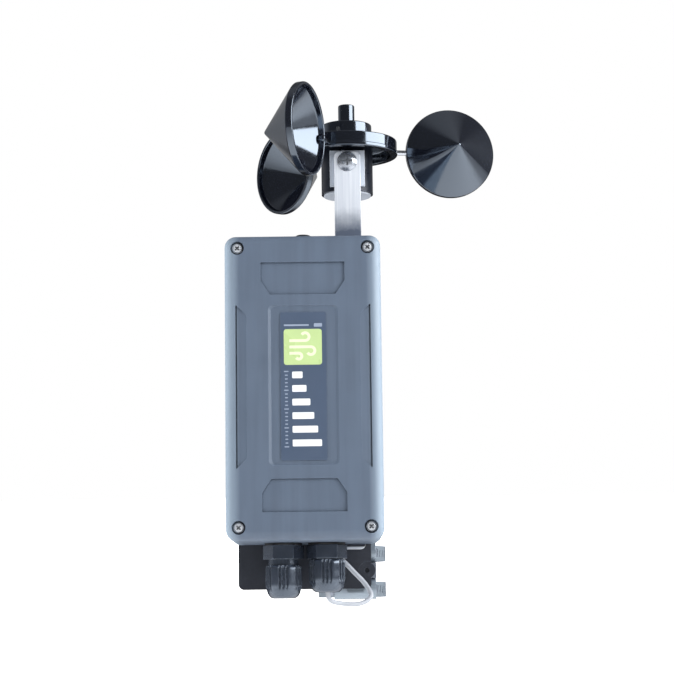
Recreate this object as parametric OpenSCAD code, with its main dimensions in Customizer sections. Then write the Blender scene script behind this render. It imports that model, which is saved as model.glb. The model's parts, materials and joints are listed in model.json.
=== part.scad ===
// Wireless cup anemometer: a sealed enclosure on a pole-mounted plate, with a
// three-cup rotor carried above it on a strip bracket.
// Origin: pole axis, midway between the two clamp bands. +Z up, the lid faces -Y.

/* [Enclosure] */
// Width of the enclosure
enc_w = 84.4; // [80:0.2:90]
// Height of the enclosure
enc_h = 164.4; // [160:0.2:170]
// Depth of the enclosure, lid and base together
enc_d = 57; // [55:0.5:62]
// Depth of the lid
lid_d = 17; // [15:0.5:20]
// Wall thickness
wall = 3; // [2.5:0.1:3.5]
// Radius of the four upright corners
corner_r = 6; // [5:0.5:7]
// Inset of the lid screws from the side and end faces
screw_inset = 7; // [6.5:0.1:8]
// Width of the label
label_w = 24.5; // [20:0.5:30]
// Height of the label
label_h = 79.7; // [70:0.1:84]

/* [Rotor] */
// Diameter of a cup across its rim
cup_d = 52.2; // [46:0.2:54]
// Length of a cup from rim to point
cup_len = 26.8; // [24:0.2:30]
// Distance from the rotor axis to each cup's axis
arm_r = 60.8; // [60:0.2:66]
// Angle of the first arm from +X at rest
arm_angle = 9.5; // [0:0.5:110]
// Diameter of the hub disc
disc_d = 59; // [56:0.5:62]
// Diameter of the upper hub disc
cap_d = 29; // [24:0.5:32]
// Diameter of the sensor head's housing
head_d = 29.8; // [29:0.1:30]

/* [Mounting] */
// Outside diameter of the pole
pole_d = 38; // [34:0.5:40]
// Distance between the middles of the two clamp bands
band_pitch = 20.2; // [19.5:0.1:22]
// Width of a clamp band
band_w = 8.5; // [8:0.1:9]
// Width of the mounting plate
plate_w = 74; // [72:0.5:80]
// Thickness of the mounting plate
plate_t = 3; // [2.5:0.1:4]
// Width of the strip bracket
strip_w = 15; // [14:0.5:16]
// Thickness of the strip bracket
strip_t = 3; // [3:0.1:3.5]

/* [Hidden] */
$fn = 64;
fine = 96;
gap = 0.1;
eps = 0.01;

// Layers behind the lid, from the pole forward
pole_r = pole_d / 2;
spine_t = 3;
spine_front_y = -pole_r - spine_t;
plate_rear_y = spine_front_y - 10;
plate_front_y = plate_rear_y - plate_t;
strip_front_y = plate_front_y - strip_t;
lid_front_y = strip_front_y - enc_d;
parting_y = lid_front_y + lid_d;
base_floor_y = strip_front_y - wall;

// Enclosure position
enc_x = -25.4;
enc_bottom_z = 14.6;
enc_z = enc_bottom_z + enc_h / 2;
enc_top_z = enc_bottom_z + enc_h;
screw_x = enc_w / 2 - screw_inset;
screw_z = enc_h / 2 - screw_inset;
column_r = 5.2;
insert_r = 3;
screw_r = 2;
label_recess = 0.8;
relief_d = 0.8;
slit_d = 2.2;
groove_x = 36.2;
groove_h = 88.4;
label_t = 0.4;
plate_screw_z = 73;
port_y = strip_front_y - 21;

// Head and rotor heights and radii
axis_y = plate_front_y + 15;
head_bottom_z = enc_z + 120;
head_top_z = enc_z + 147.6;
head_flat = 11.2;
pad_w = 20;
pad_h = 20.8;
pad_z = head_bottom_z + 2.2;
bracket_screw_z = enc_z + 135.9;
disc_bottom_z = enc_z + 142.9;
disc_top_z = disc_bottom_z + 8.6;
cap_top_z = disc_top_z + 9.7;
boss_top_z = cap_top_z + 12;
boss_r = 4.75;
cup_z = disc_bottom_z + 2.7;
hub_cavity_r = 25.5;
hub_roof = 2.2;
shaft_r = 2;
shaft_clearance = 0.05;
bushing_r = 5;
bushing_len = 7;
spoke_r = 1.5;
spoke_fit = 0.02;
// the spokes run this far behind the cups' rim planes
spoke_set = 1.6;
spoke_depth = 2.6;
cup_wall = 1.5;
collar_h = 3.8;
collar_t = 1.9;

// Cable glands
gland_x = [enc_x - 12.4, enc_x + 11.2];
hex_af = 19.4;
gland_thread_r = 8;
gland_washer_t = 1.2;
hex_h = 7.6;
nut_r = 10.3;
nut_h = 18;
mouth_r = 4.6;
left_nut_gap = 3.2;
right_nut_gap = 0.2;
seal_len = 12;
cable_r = 1.3;

// Clamp
band_t = 0.7;
spine_half_w = 9;
saddle_half_w = 13.2;
saddle_h = 8.4;
spine_h = band_pitch + band_w;
worm_len = 23.4;
worm_x = 1.4;
worm_z = [band_pitch / 2, -band_pitch / 2];
worm_r = 3.4;
worm_y = spine_front_y - band_t - gap - worm_r - 0.1;

// Mounting plate
plate_x = enc_x - 1.2;
plate_bottom_z = -10.1;
plate_top_z = enc_top_z - 6;
strip_bottom_z = enc_bottom_z - 3;
strip_top_z = disc_bottom_z - 1.2;
strip_corner_r = 3;
grommet_x = enc_x + 8;
grommet_z = enc_bottom_z - 6;
grommet_r = 3.6;

// ---------- helpers ----------

// A flat outline in X and Z, extruded between two depths.
module slab(y0, y1) {
    translate([0, y1, 0]) rotate([90, 0, 0]) linear_extrude(y1 - y0) children();
}

// A round bar or hole along Y, from y0 to y1.
module rod_y(r, y0, y1) {
    translate([0, y0, 0]) rotate([-90, 0, 0]) cylinder(r = r, h = y1 - y0);
}

// A round bar or hole along X, from x0 to x1.
module rod_x(r, x0, x1) {
    translate([x0, 0, 0]) rotate([0, 90, 0]) cylinder(r = r, h = x1 - x0);
}

// A rectangle with round corners, centred on the origin.
module rounded(w, h, r) {
    square([w - 2 * r, h], center = true);
    square([w, h - 2 * r], center = true);
    for (x = [-1, 1], y = [-1, 1])
        translate([x * (w / 2 - r), y * (h / 2 - r)]) circle(r);
}

// A hexagonal bar from its across-flats size.
module hexagon(af, h) {
    cylinder(r = af / 2 / cos(30), h = h, $fn = 6);
}

module at_enclosure() {
    translate([enc_x, 0, enc_z]) children();
}

module at_lid_screws() {
    at_enclosure() for (x = [-1, 1], z = [-1, 1])
        translate([x * screw_x, 0, z * screw_z]) children();
}

module at_plate_screws() {
    at_enclosure() for (x = [-1, 1], z = [-1, 1])
        translate([x * -enc_x, 0, z * plate_screw_z]) children();
}

module at_gland(i) {
    translate([gland_x[i], port_y, enc_bottom_z]) children();
}

module at_axis(z) {
    translate([0, axis_y, z]) children();
}

module at_arms() {
    for (i = [0:2]) rotate(arm_angle + 120 * i) children();
}

// A solid that follows a list of points with a round section.
module along(points, r, facets = 12) {
    for (i = [0:len(points) - 2]) hull() {
        translate(points[i]) sphere(r, $fn = facets);
        translate(points[i + 1]) sphere(r, $fn = facets);
    }
}

// Points on a smooth curve through a list of control points.
function spline_point(a, b, c, d, t) =
    0.5 * (2 * b + (c - a) * t + (2 * a - 5 * b + 4 * c - d) * t * t
        + (3 * b - a - 3 * c + d) * t * t * t);
function clamp_index(i, n) = max(0, min(n - 1, i));
function spline(p, steps) = concat(
    [for (i = [0:len(p) - 2], s = [0:steps - 1])
        spline_point(p[clamp_index(i - 1, len(p))], p[i], p[i + 1],
            p[clamp_index(i + 2, len(p))], s / steps)],
    [p[len(p) - 1]]);

// ---------- rotor ----------

module rotor_hub() {
    color("#1b1d26") at_axis(0) difference() {
        union() {
            translate([0, 0, disc_bottom_z])
                cylinder(d = disc_d, h = disc_top_z - disc_bottom_z, $fn = fine);
            translate([0, 0, disc_top_z - eps])
                cylinder(d = cap_d, h = cap_top_z - disc_top_z + eps, $fn = fine);
            translate([0, 0, cap_top_z - eps])
                cylinder(r = boss_r, h = boss_top_z - cap_top_z + eps);
        }
        translate([0, 0, disc_bottom_z - eps])
            cylinder(r = hub_cavity_r, h = disc_top_z - hub_roof - disc_bottom_z + eps, $fn = fine);
        translate([0, 0, disc_bottom_z])
            cylinder(r = shaft_r, h = boss_top_z - 3 - disc_bottom_z);
        magnet_pocket(0.05);
        at_arms() translate([0, -spoke_set, cup_z])
            rod_x(spoke_r + spoke_fit, hub_cavity_r - 1, disc_d);
    }
}

// The magnet's place, a short bar let up into the disc's roof.
module magnet_pocket(room) {
    rotate(arm_angle + 60) translate([19.5, 0, disc_top_z - 3.2 - room])
        cylinder(r = 2.5 + room, h = 2.2 + 2 * room);
}

module rotor_magnet() {
    color("#8c8f96") at_axis(0) magnet_pocket(0);
}

module rotor_shaft() {
    shaft_bottom_z = head_bottom_z + 1.6;
    color("#c9ccd2") at_axis(0) difference() {
        translate([0, 0, shaft_bottom_z])
            cylinder(r = shaft_r, h = boss_top_z - 3 - shaft_bottom_z);
        translate([0, 0, head_bottom_z + 2.4]) circlip_groove(1.7, 0.7);
    }
}

// The turned groove that takes the circlip.
module circlip_groove(r, h) {
    difference() {
        cylinder(r = shaft_r + 1, h = h);
        translate([0, 0, -eps]) cylinder(r = r, h = h + 2 * eps);
    }
}

module shaft_circlip() {
    color("#3a3d44") at_axis(head_bottom_z + 2.45) difference() {
        cylinder(r = 3.6, h = 0.6);
        translate([0, 0, -eps]) cylinder(r = 1.72, h = 1);
        translate([0, -1.4, -eps]) cube([5, 2.8, 1]);
    }
}

// One cup, a cone with a straight collar. Its rim is in the plane through the rotor axis.
module cup(i) {
    rim_r = cup_d / 2;
    rotate(arm_angle + 120 * i) translate([arm_r, 0, cup_z]) rotate([90, 0, 0]) difference() {
        union() {
            rotate_extrude($fn = fine) polygon([
                [0, cup_len], [0, cup_len - cup_wall * 1.6],
                [rim_r - collar_t, collar_h - 0.5], [rim_r - collar_t, 0],
                [rim_r, 0], [rim_r, collar_h]]);
            // boss inside the collar that the spoke pushes into
            translate([0, 0, spoke_set]) rod_x(spoke_r + 0.9, 1 - rim_r, spoke_depth + 1 - rim_r);
        }
        translate([0, 0, spoke_set]) rod_x(spoke_r + spoke_fit, -rim_r - 2, spoke_depth + 0.2 - rim_r);
    }
}

module right_cup() {
    color("#232632") at_axis(0) cup(0);
}

module rear_cup() {
    color("#232632") at_axis(0) cup(1);
}

module front_cup() {
    color("#232632") at_axis(0) cup(2);
}

module cup_spokes() {
    color("#a9aeb8") at_axis(0) at_arms() translate([0, -spoke_set, cup_z])
        rod_x(spoke_r, hub_cavity_r + 0.2, arm_r - cup_d / 2 + spoke_depth);
}

// ---------- sensor head ----------

module head_housing() {
    color("#262e3e") difference() {
        at_axis(head_bottom_z) cylinder(d = head_d, h = head_top_z - head_bottom_z, $fn = fine);
        // milled flat for the bracket pad
        translate([-head_d, axis_y - head_flat - 20, pad_z - 0.2])
            cube([2 * head_d, 20, head_top_z]);
        // bushing seats at both ends, and the hollow between them
        at_axis(head_top_z - bushing_len) cylinder(r = bushing_r, h = bushing_len + 1);
        at_axis(head_bottom_z + 3.6) cylinder(r = bushing_r, h = bushing_len);
        at_axis(head_bottom_z) cylinder(r = 3.4, h = head_top_z - head_bottom_z);
        at_axis(head_bottom_z - 1) cylinder(r = 9, h = 4.6);
        // upright pocket for the reed switch, open at the bottom
        at_axis(head_bottom_z - 1) translate([0, 8.4, 0])
            cylinder(r = 2, h = head_top_z - head_bottom_z - 0.8);
        translate([0, 0, bracket_screw_z])
            rod_y(2.5, axis_y - head_flat - 1, axis_y - 6.4);
    }
}

module bushing() {
    difference() {
        cylinder(r = bushing_r - 0.01, h = bushing_len - 0.2);
        translate([0, 0, -1]) cylinder(r = shaft_r + shaft_clearance, h = bushing_len + 2);
    }
}

module upper_bushing() {
    color("#b08d4a") at_axis(head_top_z - bushing_len + 0.1) bushing();
}

module lower_bushing() {
    color("#b08d4a") at_axis(head_bottom_z + 3.7) bushing();
}

module thrust_washer() {
    color("#dcdfe4") at_axis(head_top_z + 0.05) difference() {
        cylinder(r = 5.5, h = disc_top_z - hub_roof - head_top_z - 0.15);
        translate([0, 0, -1]) cylinder(r = shaft_r + 0.1, h = 5);
    }
}

module reed_switch() {
    color("#7f9a8c") at_axis(head_bottom_z + 8) translate([0, 8.4, 0])
        cylinder(r = 1.3, h = head_top_z - head_bottom_z - 10.4);
}

module head_end_cap() {
    color("#8f949c") at_axis(head_bottom_z - 1) difference() {
        union() {
            cylinder(r = 13.6, h = 1 - eps, $fn = fine);
            cylinder(r = 8.9, h = 1.5, $fn = fine);
        }
        translate([0, 8.4, -1]) cylinder(r = cable_r + 0.35, h = 4);
    }
}

module bracket_pad() {
    color("#a6adba") difference() {
        translate([-pad_w / 2, axis_y - 15, pad_z]) cube([pad_w, 15 - head_flat, pad_h]);
        translate([0, 0, bracket_screw_z]) rod_y(3, axis_y - 16, axis_y);
    }
}

module bracket_screw() {
    color("#d9dde4") translate([0, 0, bracket_screw_z]) difference() {
        union() {
            rod_y(2.48, strip_front_y - eps, axis_y - 7);
            translate([0, strip_front_y, 0]) rotate([90, 0, 0]) rotate_extrude() intersection() {
                translate([0, -5.2]) circle(8);
                square([5.7, 3.2]);
            }
        }
        translate([0, strip_front_y - 4, 0]) for (a = [0, 90])
            rotate([0, a, 0]) cube([1.1, 4, 5.6], center = true);
    }
}

module bracket_strip() {
    color("#dfe5ec") difference() {
        translate([0, 0, (strip_top_z + strip_bottom_z) / 2]) slab(strip_front_y, plate_front_y - eps)
            rounded(strip_w, strip_top_z - strip_bottom_z, strip_corner_r);
        translate([0, 0, bracket_screw_z]) rod_y(2.75, strip_front_y - 1, plate_front_y + 1);
        for (z = [-1, 1]) translate([0, 0, enc_z + z * plate_screw_z])
            rod_y(screw_r + 0.15, strip_front_y - 1, plate_front_y + 1);
    }
}

// ---------- mounting plate ----------

module mounting_plate() {
    plate_mid_z = (plate_top_z + plate_bottom_z) / 2;
    color("#2b2f3b") difference() {
        translate([plate_x, 0, plate_mid_z]) slab(plate_front_y, plate_rear_y)
            rounded(plate_w, plate_top_z - plate_bottom_z, 3);
        at_plate_screws() rod_y(screw_r + 0.15, plate_front_y - 1, plate_rear_y + 1);
        translate([grommet_x, 0, grommet_z]) rod_y(grommet_r, plate_front_y - 1, plate_rear_y + 1);
        for (x = [-1, 1]) translate([x * 8, 0, 0]) {
            rod_y(2.6, plate_front_y - 1, plate_rear_y + 1);
            translate([0, plate_front_y - eps, 0]) rotate([-90, 0, 0])
                cylinder(r1 = 4.8, r2 = 2.6, h = 2.2);
        }
    }
}

module plate_screws() {
    color("#c4c8cf") at_plate_screws() difference() {
        union() {
            rod_y(screw_r, base_floor_y - eps, plate_rear_y + 4.6);
            rod_y(4, base_floor_y - 2.6, base_floor_y);
        }
        rod_y(1.3, base_floor_y - 3, base_floor_y - 0.9);
    }
}

module plate_nuts() {
    color("#b7bcc5") at_plate_screws() translate([0, plate_rear_y + eps, 0])
        rotate([-90, 0, 0]) difference() {
            hexagon(7, 3.2);
            translate([0, 0, -1]) cylinder(r = screw_r + 0.02, h = 6);
        }
}

// The strip fills the space on the right; two spacers match it on the left.
module plate_spacers() {
    color("#c4c8cf") at_enclosure() for (z = [-1, 1])
        translate([enc_x, 0, z * plate_screw_z]) difference() {
            rod_y(4.5, strip_front_y + eps, plate_front_y - eps);
            rod_y(screw_r + 0.15, strip_front_y - 1, plate_front_y + 1);
        }
}

module cable_grommet() {
    color("#17181c") translate([grommet_x, 0, grommet_z]) difference() {
        union() {
            rod_y(grommet_r - 0.05, plate_front_y - 0.8, plate_rear_y + 0.8);
            rod_y(grommet_r + 1.2, plate_front_y - 0.8, plate_front_y - eps);
            rod_y(grommet_r + 1.2, plate_rear_y + eps, plate_rear_y + 0.8);
        }
        rod_y(cable_r + 1.1, plate_front_y - 3, plate_rear_y + 3);
    }
}

// ---------- enclosure ----------

module enclosure_base() {
    inner_w = enc_w - 2 * wall;
    inner_h = enc_h - 2 * wall;
    color("#5d6a7c") difference() {
        union() {
            at_enclosure() difference() {
                slab(parting_y, strip_front_y - eps) rounded(enc_w, enc_h, corner_r);
                slab(parting_y - 1, base_floor_y) rounded(inner_w, inner_h, corner_r - wall);
            }
            at_lid_screws() rod_y(column_r, parting_y, base_floor_y + eps);
            at_board_posts() rod_y(3, base_floor_y - 6, base_floor_y + eps);
        }
        at_lid_screws() rod_y(insert_r, parting_y - 1, parting_y + 14);
        at_board_posts() rod_y(1.2, base_floor_y - 7, base_floor_y - 0.5);
        at_plate_screws() rod_y(screw_r + 0.15, base_floor_y - 1, strip_front_y + 1);
        for (i = [0, 1]) at_gland(i) translate([0, 0, -1])
            cylinder(r = gland_thread_r + 0.1, h = wall + 2);
        translate([enc_x, port_y, enc_top_z - wall - 1]) cylinder(r = 6.1, h = wall + 2);
        at_enclosure() slab(parting_y - 1, parting_y + 1.4) gasket_ring(0);
    }
}

module at_board_posts() {
    at_enclosure() for (x = [-1, 1], z = [-55, -13])
        translate([x * 26, 0, z]) children();
}

// The sealing groove's outline, narrowed on both sides by the given room.
module gasket_ring(room) {
    difference() {
        rounded(enc_w - 1.4 - 2 * room, enc_h - 1.4 - 2 * room, corner_r - 0.7);
        rounded(enc_w - 4.4 + 2 * room, enc_h - 4.4 + 2 * room, corner_r - 2.2);
    }
}

module lid_gasket() {
    color("#15161a") at_enclosure() slab(parting_y + 0.02, parting_y + 1.38) gasket_ring(0.05);
}

// One outline of the end panels: square outer corners and cut inner corners.
module end_panel() {
    half_w = 22.6;
    cut = 5;
    polygon([[-half_w, 67], [half_w, 67], [half_w, 57], [half_w - cut, 49.5],
        [cut - half_w, 49.5], [-half_w, 57]]);
}

// One side groove: upright outer edge and ends cut at 45 degrees.
module side_groove() {
    polygon([[groove_x, groove_h / 2], [31, groove_h / 2 - 5.2], [31, 5.2 - groove_h / 2],
        [groove_x, -groove_h / 2]]);
}

// The narrow slit along each side groove's outer edge.
module groove_slits() {
    slit_w = 0.75;
    for (s = [-1, 1]) translate([s * (groove_x - slit_w / 2), 0])
        square([slit_w, groove_h - 1], center = true);
}

module lid_relief() {
    for (s = [-1, 1]) {
        scale([1, s]) end_panel();
        scale([s, 1]) side_groove();
    }
}

// The lid's outer body, its front edge rolled over in four slices.
module lid_shell() {
    roll = 5.2;
    hull() {
        at_enclosure() slab(lid_front_y + roll, parting_y - eps)
            rounded(enc_w, enc_h, corner_r, $fn = 32);
        for (a = [22.5, 45, 67.5, 90]) {
            inset = roll * (1 - cos(a));
            y = lid_front_y + roll * (1 - sin(a));
            at_enclosure() slab(y, y + eps)
                rounded(enc_w - 2 * inset, enc_h - 2 * inset, corner_r - inset, $fn = 32);
        }
    }
}

module enclosure_lid() {
    inner_w = enc_w - 2 * wall - 1;
    inner_h = enc_h - 2 * wall - 1;
    color("#6b7a8f") difference() {
        union() {
            difference() {
                lid_shell();
                at_enclosure() slab(lid_front_y + wall, parting_y + 1)
                    rounded(inner_w, inner_h, corner_r - wall);
            }
            at_lid_screws() rod_y(column_r - 0.4, lid_front_y + wall - 1, parting_y - eps);
        }
        at_lid_screws() {
            rod_y(3.7, lid_front_y - 1, lid_front_y + 3.2);
            rod_y(screw_r + 0.15, lid_front_y, parting_y + 1);
        }
        at_enclosure() {
            slab(lid_front_y - 1, lid_front_y + relief_d) lid_relief();
            slab(lid_front_y - 1, lid_front_y + slit_d) groove_slits();
            slab(lid_front_y - 1, lid_front_y + label_recess) rounded(36.9, 86.6, 3);
        }
    }
}

module thread_inserts() {
    color("#b08d4a") at_lid_screws() difference() {
        rod_y(insert_r - 0.01, parting_y + 0.3, parting_y + 8.3);
        rod_y(screw_r + 0.02, parting_y - 1, parting_y + 10);
    }
}

module lid_screws() {
    color("#b9bec8") at_lid_screws() difference() {
        union() {
            rod_y(screw_r, lid_front_y + 2, parting_y + 11);
            rod_y(2.95, lid_front_y + 0.9, lid_front_y + 3.2 - eps);
        }
        translate([0, lid_front_y + 1.3, 0]) for (a = [45, 135])
            rotate([0, a, 0]) cube([0.9, 1.6, 4], center = true);
    }
}

module lid_label() {
    label_y = lid_front_y + label_recess - label_t;
    color("#4f5a6e") at_enclosure() slab(label_y, label_y + label_t - eps)
        rounded(label_w, label_h, 0.8);
}

module vent_plug() {
    knob_h = 4.2;
    crown_h = 2.2;
    color("#22252c") translate([enc_x, port_y, enc_top_z]) difference() {
        union() {
            translate([0, 0, -wall - 7]) cylinder(r = 6, h = wall + 8);
            translate([0, 0, eps]) cylinder(r = 7.6, h = knob_h);
            translate([0, 0, knob_h]) cylinder(r1 = 7.2, r2 = 3.6, h = crown_h);
        }
        translate([0, 0, -wall - 8]) cylinder(r = 3.5, h = wall + 10);
        for (a = [0:60:300]) rotate(a) translate([6.2, 0, 2.6]) cube([4, 1.4, 1], center = true);
    }
}

module vent_locknut() {
    color("#22252c") translate([enc_x, port_y, enc_top_z - wall - 4.5]) difference() {
        hexagon(16, 4.5 - eps);
        translate([0, 0, -1]) cylinder(r = 6.02, h = 8);
    }
}

// ---------- electronics and batteries ----------

board_rear_y = base_floor_y - 6;
board_t = 1.6;
board_front_y = board_rear_y - board_t;

module circuit_board() {
    color("#2f6b45") difference() {
        at_enclosure() translate([0, 0, -34]) slab(board_front_y, board_rear_y - eps)
            square([64, 54], center = true);
        at_board_posts() rod_y(1.6, board_front_y - 1, board_rear_y + 1);
    }
}

module radio_module() {
    color("#aab0b8") at_enclosure() translate([-16, 0, -30])
        slab(board_front_y - 3.2, board_front_y - eps) square([18, 24], center = true);
}

module terminal_block() {
    color("#3f8a5a") at_enclosure() difference() {
        translate([4, 0, -51]) slab(board_front_y - 10, board_front_y - eps)
            square([25, 9], center = true);
        for (i = [-2:2]) translate([4 + i * 5, 0, 0]) {
            translate([0, 0, -51]) rod_y(1.5, board_front_y - 11, board_front_y - 6);
            translate([-1.4, board_front_y - 4.6, -56]) cube([2.8, 2.8, 4]);
        }
    }
}

module board_screws() {
    color("#c4c8cf") at_board_posts() {
        rod_y(1.15, board_front_y - 1, base_floor_y - 1);
        rod_y(2.6, board_front_y - 1.8, board_front_y - eps);
    }
}

cell_r = 16.6;
cell_len = 59;
cell_z = 34;
cell_y = base_floor_y - 1.8 - cell_r - 0.3;

module battery_holder() {
    tray_w = 70;
    tray_h = cell_len + 9;
    color("#1c1d22") at_enclosure() difference() {
        translate([0, 0, cell_z]) slab(cell_y - 4, base_floor_y - eps)
            square([tray_w, tray_h], center = true);
        for (x = [-1, 1]) translate([x * 17.1, cell_y, cell_z - tray_h / 2 + 2])
            cylinder(r = cell_r + 0.3, h = tray_h - 4);
    }
}

module battery_cells() {
    color("#8b6a3c") at_enclosure() for (x = [-1, 1])
        translate([x * 17.1, cell_y, cell_z - cell_len / 2]) {
            cylinder(r = cell_r, h = cell_len);
            translate([0, 0, x > 0 ? cell_len - eps : -1.4]) cylinder(r = 4.5, h = 1.4 + eps);
        }
}

module battery_contacts() {
    color("#d0d3d8") at_enclosure() for (x = [-1, 1], z = [-1, 1])
        translate([x * 17.1 - 5, cell_y - 5, cell_z + z * (cell_len / 2 + 2.05) - 0.25])
            cube([10, 10, 0.5]);
}

module battery_leads() {
    start_z = enc_z + cell_z - cell_len / 2 - 5.4;
    color("#9a3b34") for (x = [-4, 4]) along(spline([
        [enc_x + x * 4, cell_y - 2, start_z],
        [enc_x + x * 3, cell_y - 5, start_z - 8],
        [enc_x + x * 1.2, cell_y + 2, start_z - 14],
        [enc_x + x, board_front_y - 0.9, start_z - 20]], 3), 0.8, 8);
}

// ---------- cable glands ----------

module gland_body(nut_gap) {
    hex_top_z = -gland_washer_t;
    thread_len = hex_h + nut_gap + 9;
    difference() {
        union() {
            translate([0, 0, hex_top_z]) cylinder(r = gland_thread_r, h = 11);
            translate([0, 0, hex_top_z - hex_h]) hexagon(hex_af, hex_h);
            translate([0, 0, hex_top_z - thread_len]) cylinder(r = 8.4, h = thread_len);
        }
        translate([0, 0, -40]) cylinder(r = 5.5, h = 60);
    }
}

// A ribbed dome nut whose mouth faces down.
module gland_nut(nut_gap) {
    top_z = -gland_washer_t - hex_h - nut_gap;
    ribs = 14;
    rib_w = 2.2;
    dome_h = 6;
    skirt_r = nut_r - 0.7;
    end_r = 5.6;
    translate([0, 0, top_z]) mirror([0, 0, 1]) difference() {
        union() {
            rotate_extrude($fn = fine) polygon(concat(
                [[0, 0], [skirt_r, 0]],
                [for (a = [0:15:75])
                    [end_r + (skirt_r - end_r) * cos(a), nut_h - dome_h * (1 - sin(a))]],
                [[end_r, nut_h], [0, nut_h]]));
            for (i = [0:ribs - 1]) rotate((i + 0.5) * 360 / ribs)
                translate([skirt_r - 0.6, -rib_w / 2, 0.8])
                    cube([nut_r - skirt_r + 0.6, rib_w, nut_h - dome_h - 1.6]);
        }
        translate([0, 0, -1]) cylinder(r = 8.5, h = 12);
        translate([0, 0, -1]) cylinder(r = mouth_r, h = nut_h + 2);
    }
}

// The rubber seal inside the body's mouth, with the given bore.
module gland_seal(nut_gap, bore_r) {
    mouth_z = -gland_washer_t - hex_h - nut_gap - 8.6;
    translate([0, 0, mouth_z]) difference() {
        cylinder(r = 5.45, h = seal_len);
        translate([0, 0, -1]) cylinder(r = bore_r, h = seal_len + 2);
    }
}

module left_gland_body() {
    color("#2a2d35") at_gland(0) gland_body(left_nut_gap);
}

module left_gland_nut() {
    color("#2a2d35") at_gland(0) gland_nut(left_nut_gap);
}

module left_gland_seal() {
    color("#15161a") at_gland(0) gland_seal(left_nut_gap, 3.2);
}

// The unused entry is stopped with a plain pin.
module blanking_pin() {
    color("#4a4e57") at_gland(0) translate([0, 0, -gland_washer_t - hex_h - left_nut_gap - 17])
        cylinder(r = 3.15, h = 24);
}

module right_gland_body() {
    color("#2a2d35") at_gland(1) gland_body(right_nut_gap);
}

module right_gland_nut() {
    color("#2a2d35") at_gland(1) gland_nut(right_nut_gap);
}

module right_gland_seal() {
    color("#15161a") at_gland(1) gland_seal(right_nut_gap, cable_r + 0.1);
}

module gland_locknuts() {
    color("#2a2d35") for (i = [0, 1]) at_gland(i) translate([0, 0, wall + eps]) difference() {
        rotate(30) hexagon(20, 5);
        translate([0, 0, -1]) cylinder(r = gland_thread_r + 0.02, h = 8);
    }
}

module gland_washers() {
    color("#15161a") for (i = [0, 1]) at_gland(i) translate([0, 0, eps - gland_washer_t]) difference() {
        cylinder(r = 10.2, h = gland_washer_t - 2 * eps);
        translate([0, 0, -1]) cylinder(r = gland_thread_r + 0.02, h = 4);
    }
}

// The reed switch's cable: out of the head, down behind the plate, through the grommet,
// round a drip loop and up into the right gland.
module sensor_cable() {
    head_y = axis_y + 8.4;
    behind_y = plate_rear_y + 5;
    front_y = plate_front_y - 4;
    loop_y = (front_y + port_y) / 2;
    gland_mouth_z = enc_bottom_z - gland_washer_t - hex_h - nut_h;
    path = [
        [0, head_y, head_bottom_z + 5], [0, head_y, head_bottom_z - 14],
        [0, head_y - 4, enc_top_z + 4],
        [-3, behind_y, enc_z + 50], [-12, behind_y, enc_z],
        [grommet_x, behind_y, enc_z - 45], [grommet_x, behind_y, grommet_z + 10],
        [grommet_x, behind_y - 1.4, grommet_z + 3.2],
        [grommet_x, plate_rear_y + 0.4, grommet_z + 0.3],
        [grommet_x, plate_front_y - 0.6, grommet_z],
        [grommet_x + 2.2, plate_front_y - 3, grommet_z + 0.2],
        [grommet_x + 6.6, front_y - 0.4, grommet_z + 0.2],
        [grommet_x + 11.6, front_y - 0.8, grommet_z - 3],
        [1, front_y - 1, -1.4], [7, front_y - 2, -8],
        [9.8, loop_y + 4, -14.6], [3.4, loop_y, -18.6],
        [-7.6, loop_y - 4, -18.2], [gland_x[1] + 1.2, port_y + 2, gland_mouth_z - 3.6],
        [gland_x[1], port_y, gland_mouth_z + 3], [gland_x[1], port_y, gland_mouth_z + 6],
        [gland_x[1], port_y, enc_bottom_z - 4], [gland_x[1], port_y, enc_bottom_z + 12],
        [gland_x[1] - 1, port_y + 3, enc_bottom_z + 18],
        [enc_x + 4, board_front_y - 3.2, enc_z - 55.6]
    ];
    color("#9aa0aa") along(spline(path, 5), cable_r);
}

// ---------- pole clamp ----------

// The height band on the saddle's front: a vertical spine inside both bands, and a
// middle block that stands it off the plate.
module pole_saddle() {
    color("#8d939c") difference() {
        union() {
            translate([-spine_half_w, spine_front_y, -spine_h / 2])
                cube([2 * spine_half_w, spine_t + 4, spine_h]);
            translate([-saddle_half_w, plate_rear_y + eps, -saddle_h / 2])
                cube([2 * saddle_half_w, -pole_r * 0.72 - plate_rear_y, saddle_h]);
        }
        translate([0, 0, -spine_h]) cylinder(r = pole_r, h = 2 * spine_h, $fn = fine);
        for (x = [-1, 1]) translate([x * 8, 0, 0]) rod_y(2.1, plate_rear_y - 1, plate_rear_y + 8);
    }
}

module saddle_screws() {
    color("#23252c") for (x = [-1, 1]) translate([x * 8, 0, 0]) difference() {
        union() {
            rod_y(2.08, plate_front_y + 1, plate_rear_y + 7);
            translate([0, plate_front_y + 0.02, 0]) rotate([-90, 0, 0])
                cylinder(r1 = 4.7, r2 = 2.08, h = 2.2);
        }
        rod_y(1.4, plate_front_y - 1, plate_front_y + 1.3);
    }
}

// Where a line from the corner (a, -y) touches a circle of radius r about the origin.
function touch_angle(a, y, r) = atan2(-y, a) + acos(r / norm([a, y]));

// The inside outline of a band: round the pole, then straight to the spine's front.
module band_outline(r, a, y) {
    t = touch_angle(a, y, r);
    circle(r, $fn = fine);
    polygon([[-a, -y], [a, -y], [r * cos(t), r * sin(t)], [-r * cos(t), r * sin(t)]]);
}

module clamp_band() {
    linear_extrude(band_w, center = true) difference() {
        band_outline(pole_r + band_t, spine_half_w + 0.9, pole_r + spine_t + band_t);
        band_outline(pole_r, spine_half_w + 0.4, pole_r + spine_t + 0.05);
    }
}

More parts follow.
